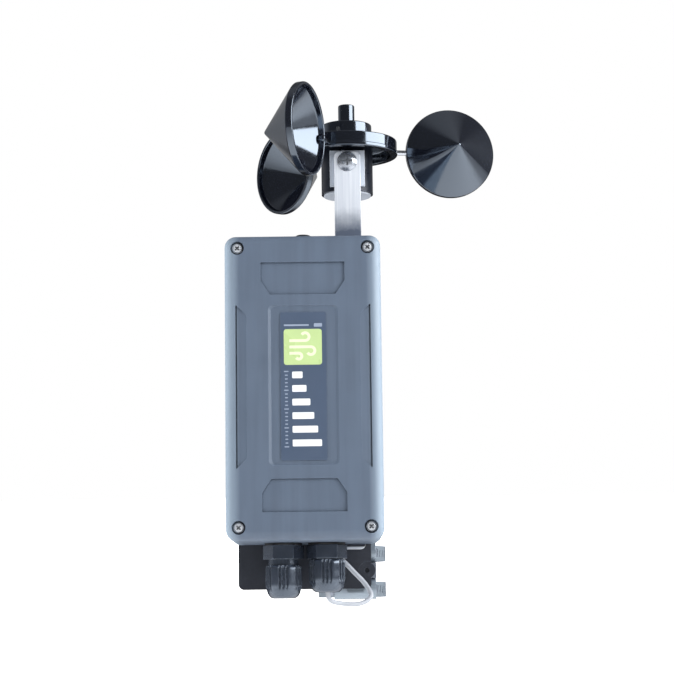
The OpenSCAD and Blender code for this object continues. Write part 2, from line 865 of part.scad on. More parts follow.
// The pressed housing that holds the worm against the band. Its cheeks hug the band's
// edges, and the worm's bore breaks out towards the band.
module worm_housing() {
    height = 8.6;
    cheek_t = 1.4;
    width = band_w + 2 * (cheek_t + gap);
    top_y = spine_front_y - band_t - gap;
    translate([worm_x, 0, 0]) difference() {
        union() {
            translate([-worm_len / 2, top_y - height, -width / 2]) cube([worm_len, height, width]);
            for (s = [-1, 1]) translate([-worm_len / 2, top_y - 1, s * (width - cheek_t) / 2 - cheek_t / 2])
                cube([worm_len, 1.7, cheek_t]);
        }
        translate([0, worm_y, 0]) rod_x(worm_r + 0.15, -worm_len / 2 + 1.6, worm_len / 2 - 1.6);
        translate([0, worm_y, 0]) rod_x(worm_r - 0.9, -worm_len, worm_len);
    }
}

module worm_screw() {
    thread_pitch = 2.6;
    shank_r = worm_r - 1;
    head_x = -worm_len / 2 - 4.6;
    translate([worm_x, worm_y, 0]) difference() {
        union() {
            rod_x(shank_r, head_x, worm_len / 2 + 0.6);
            for (i = [-3:3]) translate([i * thread_pitch, 0, 0]) rod_x(worm_r, -0.6, 0.6);
            translate([head_x, 0, 0]) rotate([0, 90, 0]) hexagon(6.4, 4.2);
        }
        translate([head_x, 0, 0]) cube([2.4, 1.2, 9], center = true);
    }
}

module upper_clamp_band() {
    color("#b8c0ca") translate([0, 0, worm_z[0]]) clamp_band();
}

module lower_clamp_band() {
    color("#b8c0ca") translate([0, 0, worm_z[1]]) clamp_band();
}

module upper_worm_housing() {
    color("#d5dae2") translate([0, 0, worm_z[0]]) worm_housing();
}

module lower_worm_housing() {
    color("#d5dae2") translate([0, 0, worm_z[1]]) worm_housing();
}

module upper_worm_screw() {
    color("#9aa1ab") translate([0, 0, worm_z[0]]) worm_screw();
}

module lower_worm_screw() {
    color("#9aa1ab") translate([0, 0, worm_z[1]]) worm_screw();
}

// ---------- one line per part ----------

rotor_hub();
right_cup();
rear_cup();
front_cup();
cup_spokes();
rotor_shaft();
rotor_magnet();
shaft_circlip();
head_housing();
upper_bushing();
lower_bushing();
thrust_washer();
reed_switch();
head_end_cap();
bracket_pad();
bracket_screw();
bracket_strip();
mounting_plate();
plate_screws();
plate_nuts();
plate_spacers();
enclosure_base();
enclosure_lid();
lid_gasket();
thread_inserts();
lid_screws();
lid_label();
vent_plug();
vent_locknut();
circuit_board();
radio_module();
terminal_block();
board_screws();
battery_holder();
battery_cells();
battery_contacts();
battery_leads();
left_gland_body();
left_gland_nut();
left_gland_seal();
blanking_pin();
right_gland_body();
right_gland_nut();
right_gland_seal();
gland_locknuts();
gland_washers();
sensor_cable();
cable_grommet();
pole_saddle();
saddle_screws();
upper_clamp_band();
lower_clamp_band();
upper_worm_housing();
lower_worm_housing();
upper_worm_screw();
lower_worm_screw();
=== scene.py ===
"""Looks of a wireless cup anemometer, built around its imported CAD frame.

Shapes are in millimetres until add_piece turns them into metres.
"""

import json
import math

import bmesh
import bpy
from mathutils import Matrix, Vector

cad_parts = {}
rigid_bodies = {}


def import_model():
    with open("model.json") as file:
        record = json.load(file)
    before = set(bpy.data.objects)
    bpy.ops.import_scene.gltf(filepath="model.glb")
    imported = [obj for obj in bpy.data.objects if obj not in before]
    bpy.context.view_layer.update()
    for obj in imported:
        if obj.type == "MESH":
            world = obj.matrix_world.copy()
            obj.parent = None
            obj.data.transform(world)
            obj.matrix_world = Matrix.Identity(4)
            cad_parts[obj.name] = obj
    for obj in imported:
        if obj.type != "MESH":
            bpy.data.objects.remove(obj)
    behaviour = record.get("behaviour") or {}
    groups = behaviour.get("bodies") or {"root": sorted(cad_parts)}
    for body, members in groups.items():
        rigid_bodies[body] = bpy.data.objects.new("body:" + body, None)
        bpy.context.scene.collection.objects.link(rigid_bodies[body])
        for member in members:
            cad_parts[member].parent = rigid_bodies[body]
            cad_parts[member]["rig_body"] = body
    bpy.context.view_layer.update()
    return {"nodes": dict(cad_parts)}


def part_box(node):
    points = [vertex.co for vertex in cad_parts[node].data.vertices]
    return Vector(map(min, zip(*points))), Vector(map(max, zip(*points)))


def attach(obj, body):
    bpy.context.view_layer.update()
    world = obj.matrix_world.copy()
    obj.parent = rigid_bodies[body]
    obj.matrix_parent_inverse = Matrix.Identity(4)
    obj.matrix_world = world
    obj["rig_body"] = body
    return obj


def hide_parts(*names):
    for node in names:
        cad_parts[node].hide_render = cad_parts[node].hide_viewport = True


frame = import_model()
scene = bpy.context.scene
MM = 0.001


# ---------- places read from the frame ----------

def span(node):
    """A CAD node's lowest and highest corners in millimetres."""
    low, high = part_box(node)
    return low / MM, high / MM


def middle(node):
    low, high = span(node)
    return (low + high) / 2


def body_of(node):
    return frame["nodes"][node]["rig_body"]


LID_LOW, LID_HIGH = span("enclosure_lid")
LID_FRONT = LID_LOW.y
LID_PARTING = LID_HIGH.y
LID_MID = middle("enclosure_lid")
LID_W = LID_HIGH.x - LID_LOW.x
LID_H = LID_HIGH.z - LID_LOW.z
HUB_LOW, HUB_HIGH = span("rotor_hub")
AXIS = middle("rotor_hub").xy
DISC_R = (HUB_HIGH.x - HUB_LOW.x) / 2
CAP_R = 14.5  # the hub's raised centre
ARM_ANGLE = 9.5  # the right cup's arm, in degrees from +X
ARM_LENGTH = 60.8  # from the rotor's axis to a cup's centre line
CUP_Z = middle("right_cup").z


# ---------- mesh helpers ----------

def fillet(points, radius, steps=5):
    """A polyline with its corners rounded. A point's third value, where given, is its own radius."""
    result = [Vector(points[0][:2])]
    for before, corner, after in zip(points, points[1:], points[2:]):
        tip = Vector(corner[:2])
        back = Vector(before[:2]) - tip
        ahead = Vector(after[:2]) - tip
        size = corner[2] if len(corner) > 2 else radius
        cut = min(size, back.length * 0.49, ahead.length * 0.49)
        if cut < 1e-4:
            result.append(tip)
            continue
        start = tip + back.normalized() * cut
        end = tip + ahead.normalized() * cut
        for i in range(steps + 1):
            t = i / steps
            result.append(start * (1 - t) ** 2 + tip * (2 * t * (1 - t)) + end * t ** 2)
    result.append(Vector(points[-1][:2]))
    return result


def closed_fillet(points, radius, steps=5):
    """A closed outline with every corner rounded."""
    first = (Vector(points[0][:2]) + Vector(points[-1][:2])) / 2
    ring = fillet([first, *points, first], radius, steps)
    return ring[:-1]


def rounded_rect(width, height, radius, steps=8):
    """The outline of a rectangle with true arcs at its corners, centred on zero."""
    outline = []
    for quarter, (x, z) in enumerate(((1, 1), (-1, 1), (-1, -1), (1, -1))):
        for i in range(steps + 1):
            angle = math.radians(90 * (quarter + i / steps))
            outline.append(Vector((x * (width / 2 - radius) + radius * math.cos(angle),
                                   z * (height / 2 - radius) + radius * math.sin(angle))))
    return outline


def loft(rings, capped=True):
    """Join rings of equal length, each a list of 3-D points, into one skin."""
    shape = bmesh.new()
    rows = [[shape.verts.new(point) for point in ring] for ring in rings]
    for low, high in zip(rows, rows[1:]):
        for i in range(len(low)):
            j = (i + 1) % len(low)
            shape.faces.new((low[i], low[j], high[j], high[i]))
    if capped:
        shape.faces.new(rows[0])
        shape.faces.new(reversed(rows[-1]))
    return shape


def slab(outline, y0, y1, centre=(0, 0)):
    """An outline in X and Z, extruded from depth y0 to y1."""
    x, z = centre
    return loft([[(p.x + x, y, p.y + z) for p in outline] for y in (y0, y1)])


def bar(outline, x0, x1):
    """An outline in Y and Z, extruded from x0 to x1."""
    return loft([[(x, p.x, p.y) for p in outline] for x in (x0, x1)])


def lathe(profile, segments=96, flute=None, fluted=0):
    """Turn (radius, height) points about Z. flute(angle, height) widens the first fluted of them."""
    shape = bmesh.new()
    rings = []
    for number, (radius, height) in enumerate(profile):
        if radius < 1e-6:
            rings.append([shape.verts.new((0, 0, height))])
            continue
        ring = []
        for i in range(segments):
            angle = 2 * math.pi * i / segments
            r = radius + (flute(angle, height) if number < fluted else 0)
            ring.append(shape.verts.new((r * math.cos(angle), r * math.sin(angle), height)))
        rings.append(ring)
    if rings[0][0].co.xy.length > 1e-6 and rings[-1][0].co.xy.length > 1e-6:
        rings.append(rings[0])
    for low, high in zip(rings, rings[1:]):
        for i in range(segments):
            j = (i + 1) % segments
            corners = (low[i % len(low)], low[j % len(low)], high[j % len(high)], high[i % len(high)])
            corners = list(dict.fromkeys(corners))
            if len(corners) > 2:
                shape.faces.new(corners)
    return shape


def rod(radius, low, high, segments=64):
    """A plain cylinder along Z, for cutting a hole or adding a post."""
    return lathe([(0, low), (radius, low), (radius, high), (0, high)], segments)


def tube(path, radius, segments=20):
    """A round cable along a list of points, with flat ends."""
    points = [Vector(p) for p in path]
    heading = (points[1] - points[0]).normalized()
    side = heading.orthogonal().normalized()
    rings = []
    for i, point in enumerate(points):
        ahead = points[min(i + 1, len(points) - 1)]
        behind = points[max(i - 1, 0)]
        turned = (ahead - behind).normalized()
        side = heading.rotation_difference(turned) @ side
        heading = turned
        other = heading.cross(side)
        rings.append([point + side * (radius * math.cos(a)) + other * (radius * math.sin(a))
                      for a in (2 * math.pi * k / segments for k in range(segments))])
    return loft(rings)


def smooth_path(points, steps=12):
    """A smooth curve through control points."""
    p = [Vector(q) for q in points]
    path = []
    for i in range(len(p) - 1):
        a, b, c, d = p[max(i - 1, 0)], p[i], p[i + 1], p[min(i + 2, len(p) - 1)]
        for s in range(steps):
            t = s / steps
            path.append(0.5 * (2 * b + (c - a) * t + (2 * a - 5 * b + 4 * c - d) * t ** 2
                               + (3 * b - a - 3 * c + d) * t ** 3))
    return path + [p[-1]]


def merge(first, *others):
    """Put several shapes into one."""
    for other in others:
        mesh = bpy.data.meshes.new("part")
        other.to_mesh(mesh)
        other.free()
        first.from_mesh(mesh)
        bpy.data.meshes.remove(mesh)
    return first


def place(name, data):
    """Put new data into the scene as an object."""
    item = bpy.data.objects.new(name, data)
    scene.collection.objects.link(item)
    return item


def combine(shape, tool, operation="DIFFERENCE"):
    """An exact boolean of two shapes."""
    items = []
    for part in (shape, tool):
        mesh = bpy.data.meshes.new("part")
        bmesh.ops.recalc_face_normals(part, faces=part.faces)
        part.to_mesh(mesh)
        part.free()
        items.append(place("part", mesh))
    cut = items[0].modifiers.new("cut", "BOOLEAN")
    cut.object = items[1]
    cut.operation = operation
    cut.solver = "EXACT"
    graph = bpy.context.evaluated_depsgraph_get()
    result = bmesh.new()
    result.from_mesh(items[0].evaluated_get(graph).to_mesh())
    for item in items:
        mesh = item.data
        bpy.data.objects.remove(item)
        bpy.data.meshes.remove(mesh)
    return result


def moved(shape, x=0, y=0, z=0, turn=None):
    """Turn a shape with a matrix, where given, and then shift it."""
    matrix = Matrix.Translation((x, y, z)) @ (turn.to_4x4() if turn else Matrix())
    bmesh.ops.transform(shape, matrix=matrix, verts=shape.verts)
    return shape


def facing(direction):
    """The rotation that takes +Z to a direction."""
    return Vector((0, 0, 1)).rotation_difference(Vector(direction)).to_matrix()


TO_FRONT = facing((0, -1, 0))
TO_RIGHT = facing((1, 0, 0))


def soften(shape, width, segments=2, angle=32):
    """Round the edges that are sharper than an angle."""
    bmesh.ops.remove_doubles(shape, verts=shape.verts, dist=0.002)
    bmesh.ops.dissolve_limit(shape, angle_limit=math.radians(0.8), verts=shape.verts, edges=shape.edges)
    edges = [e for e in shape.edges if e.is_manifold and e.calc_face_angle(0) > math.radians(angle)]
    bmesh.ops.bevel(shape, geom=edges, offset=width, offset_type="OFFSET", segments=segments,
                    profile=0.5, affect="EDGES", clamp_overlap=True)
    return shape


def add_piece(name, shape, body, look, *nodes, slot=None, sharp=40):
    """Turn a shape into a named piece that rides on a body and hides the CAD nodes it stands for."""
    bmesh.ops.remove_doubles(shape, verts=shape.verts, dist=0.0005)
    bmesh.ops.scale(shape, vec=(MM, MM, MM), verts=shape.verts)
    bmesh.ops.recalc_face_normals(shape, faces=shape.faces)
    for face in shape.faces:
        face.smooth = True
    for edge in shape.edges:
        edge.smooth = not (edge.is_manifold and edge.calc_face_angle(0) > math.radians(sharp))
    mesh = bpy.data.meshes.new(name)
    shape.to_mesh(mesh)
    shape.free()
    if "custom_normal" in mesh.attributes:
        mesh.attributes.remove(mesh.attributes["custom_normal"])
    mesh.materials.clear()
    mesh.materials.append(LOOKS[look])
    piece = place(name, mesh)
    weighted = piece.modifiers.new("weighted normals", "WEIGHTED_NORMAL")
    weighted.keep_sharp = True
    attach(piece, body)
    if nodes:
        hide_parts(*nodes)


def refine(node, look, width=0.3, segments=2, angle=38, slot=None):
    """A finer piece from a CAD node's own shape, its hard edges rounded."""
    shape = bmesh.new()
    shape.from_mesh(frame["nodes"][node].data)
    bmesh.ops.scale(shape, vec=(1 / MM,) * 3, verts=shape.verts)
    soften(shape, width, segments, angle)
    add_piece(node + "_fine", shape, body_of(node), look, node, slot=slot)


# ---------- materials ----------

def srgb(r, g, b):
    """A display colour as linear light."""
    def linear(v):
        v = v / 255
        return v / 12.92 if v <= 0.04045 else ((v + 0.055) / 1.055) ** 2.4
    return (linear(r), linear(g), linear(b), 1)


class Wiring:
    """Short calls that build the node tree of a material or a world."""

    def __init__(self, owner):
        owner.use_nodes = True
        self.owner = owner
        self.tree = owner.node_tree
        self.surface = self.tree.nodes.get("Principled BSDF")
        self.coordinates = self.add("TexCoord", {}).outputs
        self.place = self.coordinates["Object"]

    def add(self, kind, values, **settings):
        item = self.tree.nodes.new("ShaderNode" + kind)
        for key, value in settings.items():
            setattr(item, key, value)
        for key, value in values.items():
            self.feed(item, key, value)
        return item

    def feed(self, item, key, value):
        if isinstance(value, bpy.types.NodeSocket):
            self.tree.links.new(value, item.inputs[key])
        else:
            item.inputs[key].default_value = value

    def noise(self, size, detail=3, stretch=(1, 1, 1)):
        """Noise whose features are about a size in millimetres, stretched along axes."""
        spread = [1 / (MM * size * s) for s in stretch]
        place = self.add("Mapping", {"Vector": self.place, "Scale": spread}).outputs[0]
        return self.add("TexNoise", {"Vector": place, "Scale": 1.0, "Detail": detail}).outputs[0]

    def remap(self, value, low, high, to_low=0.0, to_high=1.0):
        values = {"Value": value, "From Min": low, "From Max": high, "To Min": to_low, "To Max": to_high}
        return self.add("MapRange", values).outputs[0]

    def drift(self, size, detail=3, stretch=(1, 1, 1), low=0.0, high=1.0):
        """Noise that wanders between two values."""
        return self.remap(self.noise(size, detail, stretch), 0.3, 0.7, low, high)

    def mix(self, factor, a, b):
        item = self.add("Mix", {0: factor, 6: a, 7: b}, data_type="RGBA")
        return item.outputs[2]

    def calc(self, operation, a, b):
        return self.add("Math", {0: a, 1: b}, operation=operation).outputs[0]

    def axis(self, index):
        return self.add("SeparateXYZ", {0: self.place}).outputs[index]

    def edges(self, radius):
        """1 along hard edges, 0 on open faces."""
        bevel = self.add("Bevel", {"Radius": radius * MM}, samples=4).outputs[0]
        normal = self.add("NewGeometry", {}).outputs["Normal"]
        dot = self.add("VectorMath", {0: bevel, 1: normal}, operation="DOT_PRODUCT").outputs["Value"]
        return self.remap(dot, 0.995, 0.93)

    def hollows(self, reach):
        """1 in tight corners, 0 in the open."""
        open_sky = self.add("AmbientOcclusion", {"Distance": reach * MM}, samples=4).outputs["AO"]
        return self.remap(open_sky, 0.75, 0.25)

    def bump(self, height, depth, under=None):
        values = {"Height": height, "Distance": depth * MM, "Strength": 1.0}
        if under:
            values["Normal"] = under
        return self.add("Bump", values).outputs[0]


LOOKS = {}


def new_material(name):
    """A new material, kept in LOOKS under its name."""
    w = Wiring(bpy.data.materials.new(name))
    LOOKS[name] = w.owner
    return w


def shade(colour, factor):
    return tuple(min(1.0, c * factor) for c in colour[:3]) + (1,)


def finish(name, colour, rough=0.4, metal=0.0, mottle=0.08, grain=0.5, depth=0.01, stretch=(1, 1, 1),
           edge_wear_glint=0.35, edge_wear_glint_colour=None, crease_shade=0.35, crease_shade_colour=None, sheen_spread=0.08, ior=1.5, tint=None, coat=0.0,
           wave=0.0, reach=2.5):
    """A grained surface: colour drift at two scales, grain in relief, lighter scuffed edges that also carry
    a painted edge highlight, and painted shade in its corners and creases.

    Colours are display values, and grain, depth, wave and reach are in millimetres.
    """
    colour = srgb(*colour)
    edge_wear_glint_colour = srgb(*edge_wear_glint_colour) if edge_wear_glint_colour else shade(colour, 1.9)
    crease_shade_colour = srgb(*crease_shade_colour) if crease_shade_colour else shade(colour, 0.45)
    w = new_material(name)
    cloud = w.drift(14, 4, stretch)
    fleck = w.noise(grain * 1.7, 2, stretch)
    base = w.mix(cloud, shade(colour, 1 - mottle), shade(colour, 1 + mottle))
    base = w.mix(w.remap(fleck, 0.35, 0.75, 0, 0.5), base, shade(colour, 1 - 1.6 * mottle))
    # Painted shade: corners and creases found by ambient occlusion are darkened in patches and lose most of
    # their reflection.
    if crease_shade:
        crease_shading = w.calc("MULTIPLY", w.hollows(reach), w.remap(w.noise(3, 3), 0.3, 0.6, 0.4 * crease_shade, crease_shade))
        base = w.mix(crease_shading, base, crease_shade_colour)
        w.feed(w.surface, "Specular IOR Level", w.remap(crease_shading, 0, 1, 0.5, 0.04))
    # Lighter edges: scuffs of wear that also stand in for painted edge highlights.
    if edge_wear_glint:
        wear_glint_edges = w.calc("MULTIPLY", w.edges(0.35), w.remap(w.noise(2.2, 3), 0.38, 0.62, 0.15 * edge_wear_glint, edge_wear_glint))
        base = w.mix(wear_glint_edges, base, edge_wear_glint_colour)
    w.feed(w.surface, "Base Color", base)
    w.feed(w.surface, "Roughness", w.drift(9, 3, low=rough - sheen_spread, high=rough + sheen_spread))
    w.feed(w.surface, "Metallic", metal)
    w.feed(w.surface, "IOR", ior)
    if tint:
        w.feed(w.surface, "Specular Tint", tint)
    w.feed(w.surface, "Coat Weight", coat)
    relief = w.bump(w.noise(grain, 3, stretch), depth)
    if wave:
        relief = w.bump(w.noise(11, 1), wave, relief)
    w.feed(w.surface, "Normal", relief)


def strip_finish(low, high):
    """Bright drawn bar: long grain, painted shade and reflection of the enclosure darkening it towards the
    enclosure's top, a painted shadow where it runs behind and below the enclosure, and painted highlights
    on its lower end and edges.
    """
    under_shadow_from = 20
    under_shadow_to = 14
    end_highlight_z = 13
    w = new_material("strip_bar")
    streak = w.noise(0.6, 3, (1, 1, 60))
    bright = w.mix(w.remap(streak, 0.3, 0.7), srgb(206, 213, 224), srgb(226, 231, 239))
    height = w.calc("ADD", w.axis(2), w.drift(4, 3, low=-1.2 * MM, high=1.2 * MM))
    # Painted shade and reflection of the enclosure: the bar darkens towards the enclosure's top, along a
    # wavering line.
    painted_enclosure_shade = w.remap(height, high * MM, low * MM)
    base = w.mix(painted_enclosure_shade, bright, srgb(88, 98, 116))
    # Painted shadow: dark where the bar runs behind and just below the enclosure.
    base = w.mix(w.remap(height, under_shadow_from * MM, under_shadow_to * MM), base, srgb(40, 44, 54))
    # Painted highlight: a bright band on the bar's lower end.
    end_highlight = w.remap(w.axis(2), (end_highlight_z + 0.1) * MM, (end_highlight_z - 0.1) * MM)
    base = w.mix(end_highlight, base, srgb(206, 212, 222))
    # Painted highlight: the bar's edges lightened towards white.
    wear_glint_edges = w.calc("MULTIPLY", w.edges(0.4), 0.5)
    w.feed(w.surface, "Base Color", w.mix(wear_glint_edges, base, srgb(250, 252, 255)))
    w.feed(w.surface, "Metallic", 0.1)
    w.feed(w.surface, "Roughness", w.remap(streak, 0.3, 0.7, 0.34, 0.48))
    w.feed(w.surface, "Normal", w.bump(streak, 0.012))


def lid_finish(name, colour):
    """Textured housing plastic: faint flow marks along its length, scuffed edges, painted shade in its
    recesses and painted light on its side margins.
    """
    side_light_w = 8
    w = new_material(name)
    flow = w.noise(5, 3, (1, 1, 14))
    cloud = w.noise(30, 3)
    base = w.mix(w.remap(flow, 0.35, 0.65), shade(colour, 0.93), shade(colour, 1.06))
    base = w.mix(w.remap(cloud, 0.35, 0.65, 0, 0.5), base, shade(colour, 1.12))
    # Painted shade: corners and recesses found by ambient occlusion are darkened almost to black.
    painted_recess_shade = w.calc("MULTIPLY", w.hollows(2.6), w.remap(w.noise(2.5, 3), 0.3, 0.6, 0.8, 1.0))
    base = w.mix(painted_recess_shade, base, shade(colour, 0.15))
    wear_glint_edges = w.calc("MULTIPLY", w.edges(0.5), w.remap(w.noise(3, 3), 0.35, 0.65, 0.2, 0.6))
    base = w.mix(wear_glint_edges, base, shade(colour, 1.55))
    # Painted light: the side margins lightened towards a pale blue-white, as if lit from the sides.
    from_middle = w.calc("ABSOLUTE", w.calc("SUBTRACT", w.axis(0), LID_MID.x * MM), 0)
    painted_side_light = w.remap(from_middle, (LID_W / 2 - side_light_w) * MM, (LID_W / 2 - 1) * MM, 0, 0.8)
    w.feed(w.surface, "Base Color", w.mix(painted_side_light, base, srgb(158, 175, 191)))
    w.feed(w.surface, "Roughness", w.drift(7, 3, low=0.42, high=0.56))
    w.feed(w.surface, "Specular IOR Level", 0.45)
    spark = w.bump(w.noise(0.55, 4), 0.022)
    w.feed(w.surface, "Normal", w.bump(w.noise(18, 1), 0.05, spark))


def board_finish():
    """Solder mask with copper tracks showing through as lighter green lines."""
    w = new_material("board_mask")
    spread = w.add("Mapping", {"Vector": w.place, "Scale": (1 / (3 * MM),) * 3}).outputs[0]
    across, _, up = w.add("SeparateXYZ", {0: spread}).outputs
    flat = w.add("CombineXYZ", {0: across, 1: up}).outputs[0]
    tracks = w.add("TexBrick", {
        "Vector": flat, "Scale": 1.0, "Mortar Size": 0.05, "Mortar Smooth": 0.2, "Brick Width": 2.1,
        "Row Height": 0.55, "Color1": srgb(30, 84, 52), "Color2": srgb(36, 94, 58),
        "Mortar": srgb(66, 132, 84)})
    cloud = w.drift(6, 3, low=0, high=0.5)
    w.feed(w.surface, "Base Color", w.mix(cloud, tracks.outputs[0], srgb(26, 74, 46)))
    w.feed(w.surface, "Roughness", w.drift(3, 2, low=0.2, high=0.36))
    w.feed(w.surface, "Coat Weight", 0.4)
    w.feed(w.surface, "Normal", w.bump(tracks.outputs["Fac"], 0.03))


def cell_finish(mid_z, half):
    """A shrink-wrapped cell: copper band at one end, dark sleeve, bare metal end faces."""
    w = new_material("cell_wrap")
    band_from = 0.42
    height = w.calc("SUBTRACT", w.axis(2), mid_z * MM)
    band = w.remap(height, half * band_from * MM, half * (band_from + 0.02) * MM)
    sleeve = w.mix(w.drift(8, 3), srgb(26, 28, 34), srgb(38, 41, 49))
    copper = w.mix(w.drift(0.4, 2, (1, 1, 20)), srgb(168, 108, 60), srgb(190, 130, 78))
    body = w.mix(band, sleeve, copper)
    ends = w.remap(w.calc("ABSOLUTE", height, 0), (half - 0.9) * MM, (half - 0.7) * MM)
    w.feed(w.surface, "Base Color", w.mix(ends, body, srgb(205, 208, 214)))
    w.feed(w.surface, "Metallic", w.calc("MAXIMUM", ends, w.calc("MULTIPLY", band, 0.6)))
    w.feed(w.surface, "Roughness", w.drift(2, 3, low=0.24, high=0.4))
    w.feed(w.surface, "Normal", w.bump(w.noise(1.2, 3), 0.015))


HOUSING_BLUE = srgb(88, 101, 119)
SKY_TINT = (0.72, 0.84, 1.0, 1)
INK = {"grain": 0.25, "depth": 0.003, "coat": 0.3}

finish("rotor_black", (12, 14, 22), rough=0.11, mottle=0.15, grain=0.9, depth=0.002, edge_wear_glint=0.2,
       edge_wear_glint_colour=(70, 76, 90), crease_shade=0.95, wave=0.008, sheen_spread=0.03, ior=2.3, tint=SKY_TINT, reach=7)
finish("cup_black", (16, 18, 27), rough=0.12, mottle=0.16, grain=1.2, depth=0.002, edge_wear_glint=0.15,
       edge_wear_glint_colour=(80, 86, 100), crease_shade=0.15, wave=0.01, sheen_spread=0.03, ior=2.3, tint=SKY_TINT)
finish("lid_screw_steel", (196, 201, 208), rough=0.3, metal=0.25, grain=0.3, depth=0.006, edge_wear_glint=0.4,
       edge_wear_glint_colour=(240, 243, 247), crease_shade=0.9, crease_shade_colour=(24, 26, 32), reach=1.0)
finish("bracket_bolt_steel", (176, 182, 192), rough=0.24, metal=0.8, grain=0.3, depth=0.006, edge_wear_glint=0.3,
       edge_wear_glint_colour=(240, 243, 247), crease_shade=0.8, crease_shade_colour=(30, 33, 40))
finish("head_anodised", (23, 29, 41), rough=0.34, metal=0.35, mottle=0.1, grain=0.25, depth=0.006,
       stretch=(6, 6, 1), edge_wear_glint=0.45, edge_wear_glint_colour=(140, 146, 160))
finish("plate_paint", (38, 42, 52), rough=0.46, mottle=0.14, grain=0.9, depth=0.03, edge_wear_glint=0.3,
       edge_wear_glint_colour=(110, 118, 130), crease_shade=0.15)
finish("gland_nylon", (50, 56, 67), rough=0.22, mottle=0.1, grain=0.6, depth=0.008, edge_wear_glint=0.6,
       edge_wear_glint_colour=(140, 150, 164), crease_shade=0.9, crease_shade_colour=(8, 9, 13), ior=2.0, tint=SKY_TINT, reach=4)
finish("grommet_rubber", (96, 98, 88), rough=0.6, mottle=0.14, grain=0.4, depth=0.02, edge_wear_glint=0.2,
       edge_wear_glint_colour=(130, 132, 122))
finish("vent_nylon", (36, 39, 47), rough=0.42, grain=0.6, depth=0.012, crease_shade=0.4)
finish("seal_rubber", (22, 23, 26), rough=0.62, mottle=0.14, grain=0.35, depth=0.02, edge_wear_glint=0.2,
       edge_wear_glint_colour=(66, 68, 74))
finish("pad_aluminium", (198, 206, 218), metal=0.2, mottle=0.06, grain=0.3, depth=0.008,
       stretch=(12, 1, 1), edge_wear_glint=0.4, edge_wear_glint_colour=(225, 230, 238), crease_shade=0.12, crease_shade_colour=(110, 118, 132))
finish("cap_grey", (172, 179, 190), rough=0.5, mottle=0.07, grain=0.7, crease_shade_colour=(70, 76, 88))
finish("steel_bright", (205, 209, 216), rough=0.2, metal=1.0, mottle=0.05, grain=0.3, depth=0.004,
       stretch=(1, 8, 1), edge_wear_glint=0.3, edge_wear_glint_colour=(245, 247, 250), crease_shade_colour=(50, 54, 62))
finish("spoke_steel", (196, 200, 208), rough=0.22, metal=1.0, mottle=0.06, grain=0.25, depth=0.004,
       edge_wear_glint=0.2, edge_wear_glint_colour=(240, 243, 247), crease_shade_colour=(50, 54, 62))
finish("clamp_steel", (150, 162, 174), rough=0.34, metal=0.45, grain=0.35, depth=0.008,
       stretch=(8, 8, 1), edge_wear_glint_colour=(214, 222, 230), crease_shade_colour=(62, 68, 80))
finish("zinc_steel", (150, 158, 172), rough=0.42, metal=0.8, mottle=0.16, grain=1.1, depth=0.012,
       edge_wear_glint=0.4, edge_wear_glint_colour=(214, 220, 230), crease_shade_colour=(66, 70, 80))
finish("bronze_bush", (168, 128, 70), rough=0.34, metal=1.0, mottle=0.12, grain=0.4, depth=0.008,
       edge_wear_glint=0.3)
finish("nylon_white", (214, 214, 208), rough=0.48, mottle=0.04, grain=0.6, depth=0.008)
finish("magnet_nickel", (176, 178, 184), rough=0.18, metal=1.0, mottle=0.05, depth=0.004)
finish("terminal_green", (48, 132, 88), grain=0.6, depth=0.008)
finish("holder_black", (30, 31, 37), rough=0.5, mottle=0.1, depth=0.02)
finish("lead_pvc", (150, 40, 36), depth=0.005)
finish("cable_pvc", (176, 181, 190), rough=0.42, mottle=0.06, grain=0.8, crease_shade=0.4, crease_shade_colour=(96, 100, 110),
       edge_wear_glint=0.0)
finish("chip_epoxy", (28, 29, 32), rough=0.46, mottle=0.12, grain=0.3, depth=0.006, edge_wear_glint=0.15)
finish("radio_shield", (186, 190, 196), rough=0.28, metal=1.0, mottle=0.07, depth=0.006,
       stretch=(10, 1, 1))
finish("reed_glass", (120, 152, 138), rough=0.1, mottle=0.1, grain=0.8, depth=0.003, coat=0.8, edge_wear_glint=0.0)
finish("label_film", (74, 88, 110), rough=0.36, mottle=0.05, grain=0.4, depth=0.004, edge_wear_glint=0.2,
       edge_wear_glint_colour=(150, 160, 176), crease_shade=0.2, coat=0.3)
finish("label_green", (190, 214, 150), rough=0.34, mottle=0.05, edge_wear_glint=0.2, edge_wear_glint_colour=(228, 240, 200),
       crease_shade=0.1, **INK)
finish("label_pale", (232, 243, 205), rough=0.34, mottle=0.03, edge_wear_glint=0.0, crease_shade=0.0, **INK)
finish("label_white", (242, 246, 250), rough=0.36, mottle=0.03, edge_wear_glint=0.15, edge_wear_glint_colour=(170, 180, 194),
       crease_shade=0.0, **INK)
finish("label_grey", (150, 163, 184), rough=0.36, mottle=0.04, edge_wear_glint=0.0, crease_shade=0.0, **INK)
lid_finish("enclosure_plastic", HOUSING_BLUE)
lid_finish("base_plastic", shade(HOUSING_BLUE, 0.88))
board_finish()
cell_finish(middle("battery_cells").z, 29.5)
strip_finish(LID_HIGH.z + 13, LID_HIGH.z + 27)


# ---------- rotor ----------

def grub_directions():
    """The two sides of the hub that its grub screws face."""
    for i in range(2):
        angle = math.radians(ARM_ANGLE + 60 + 180 * i)
        yield Vector((math.cos(angle), math.sin(angle), 0))


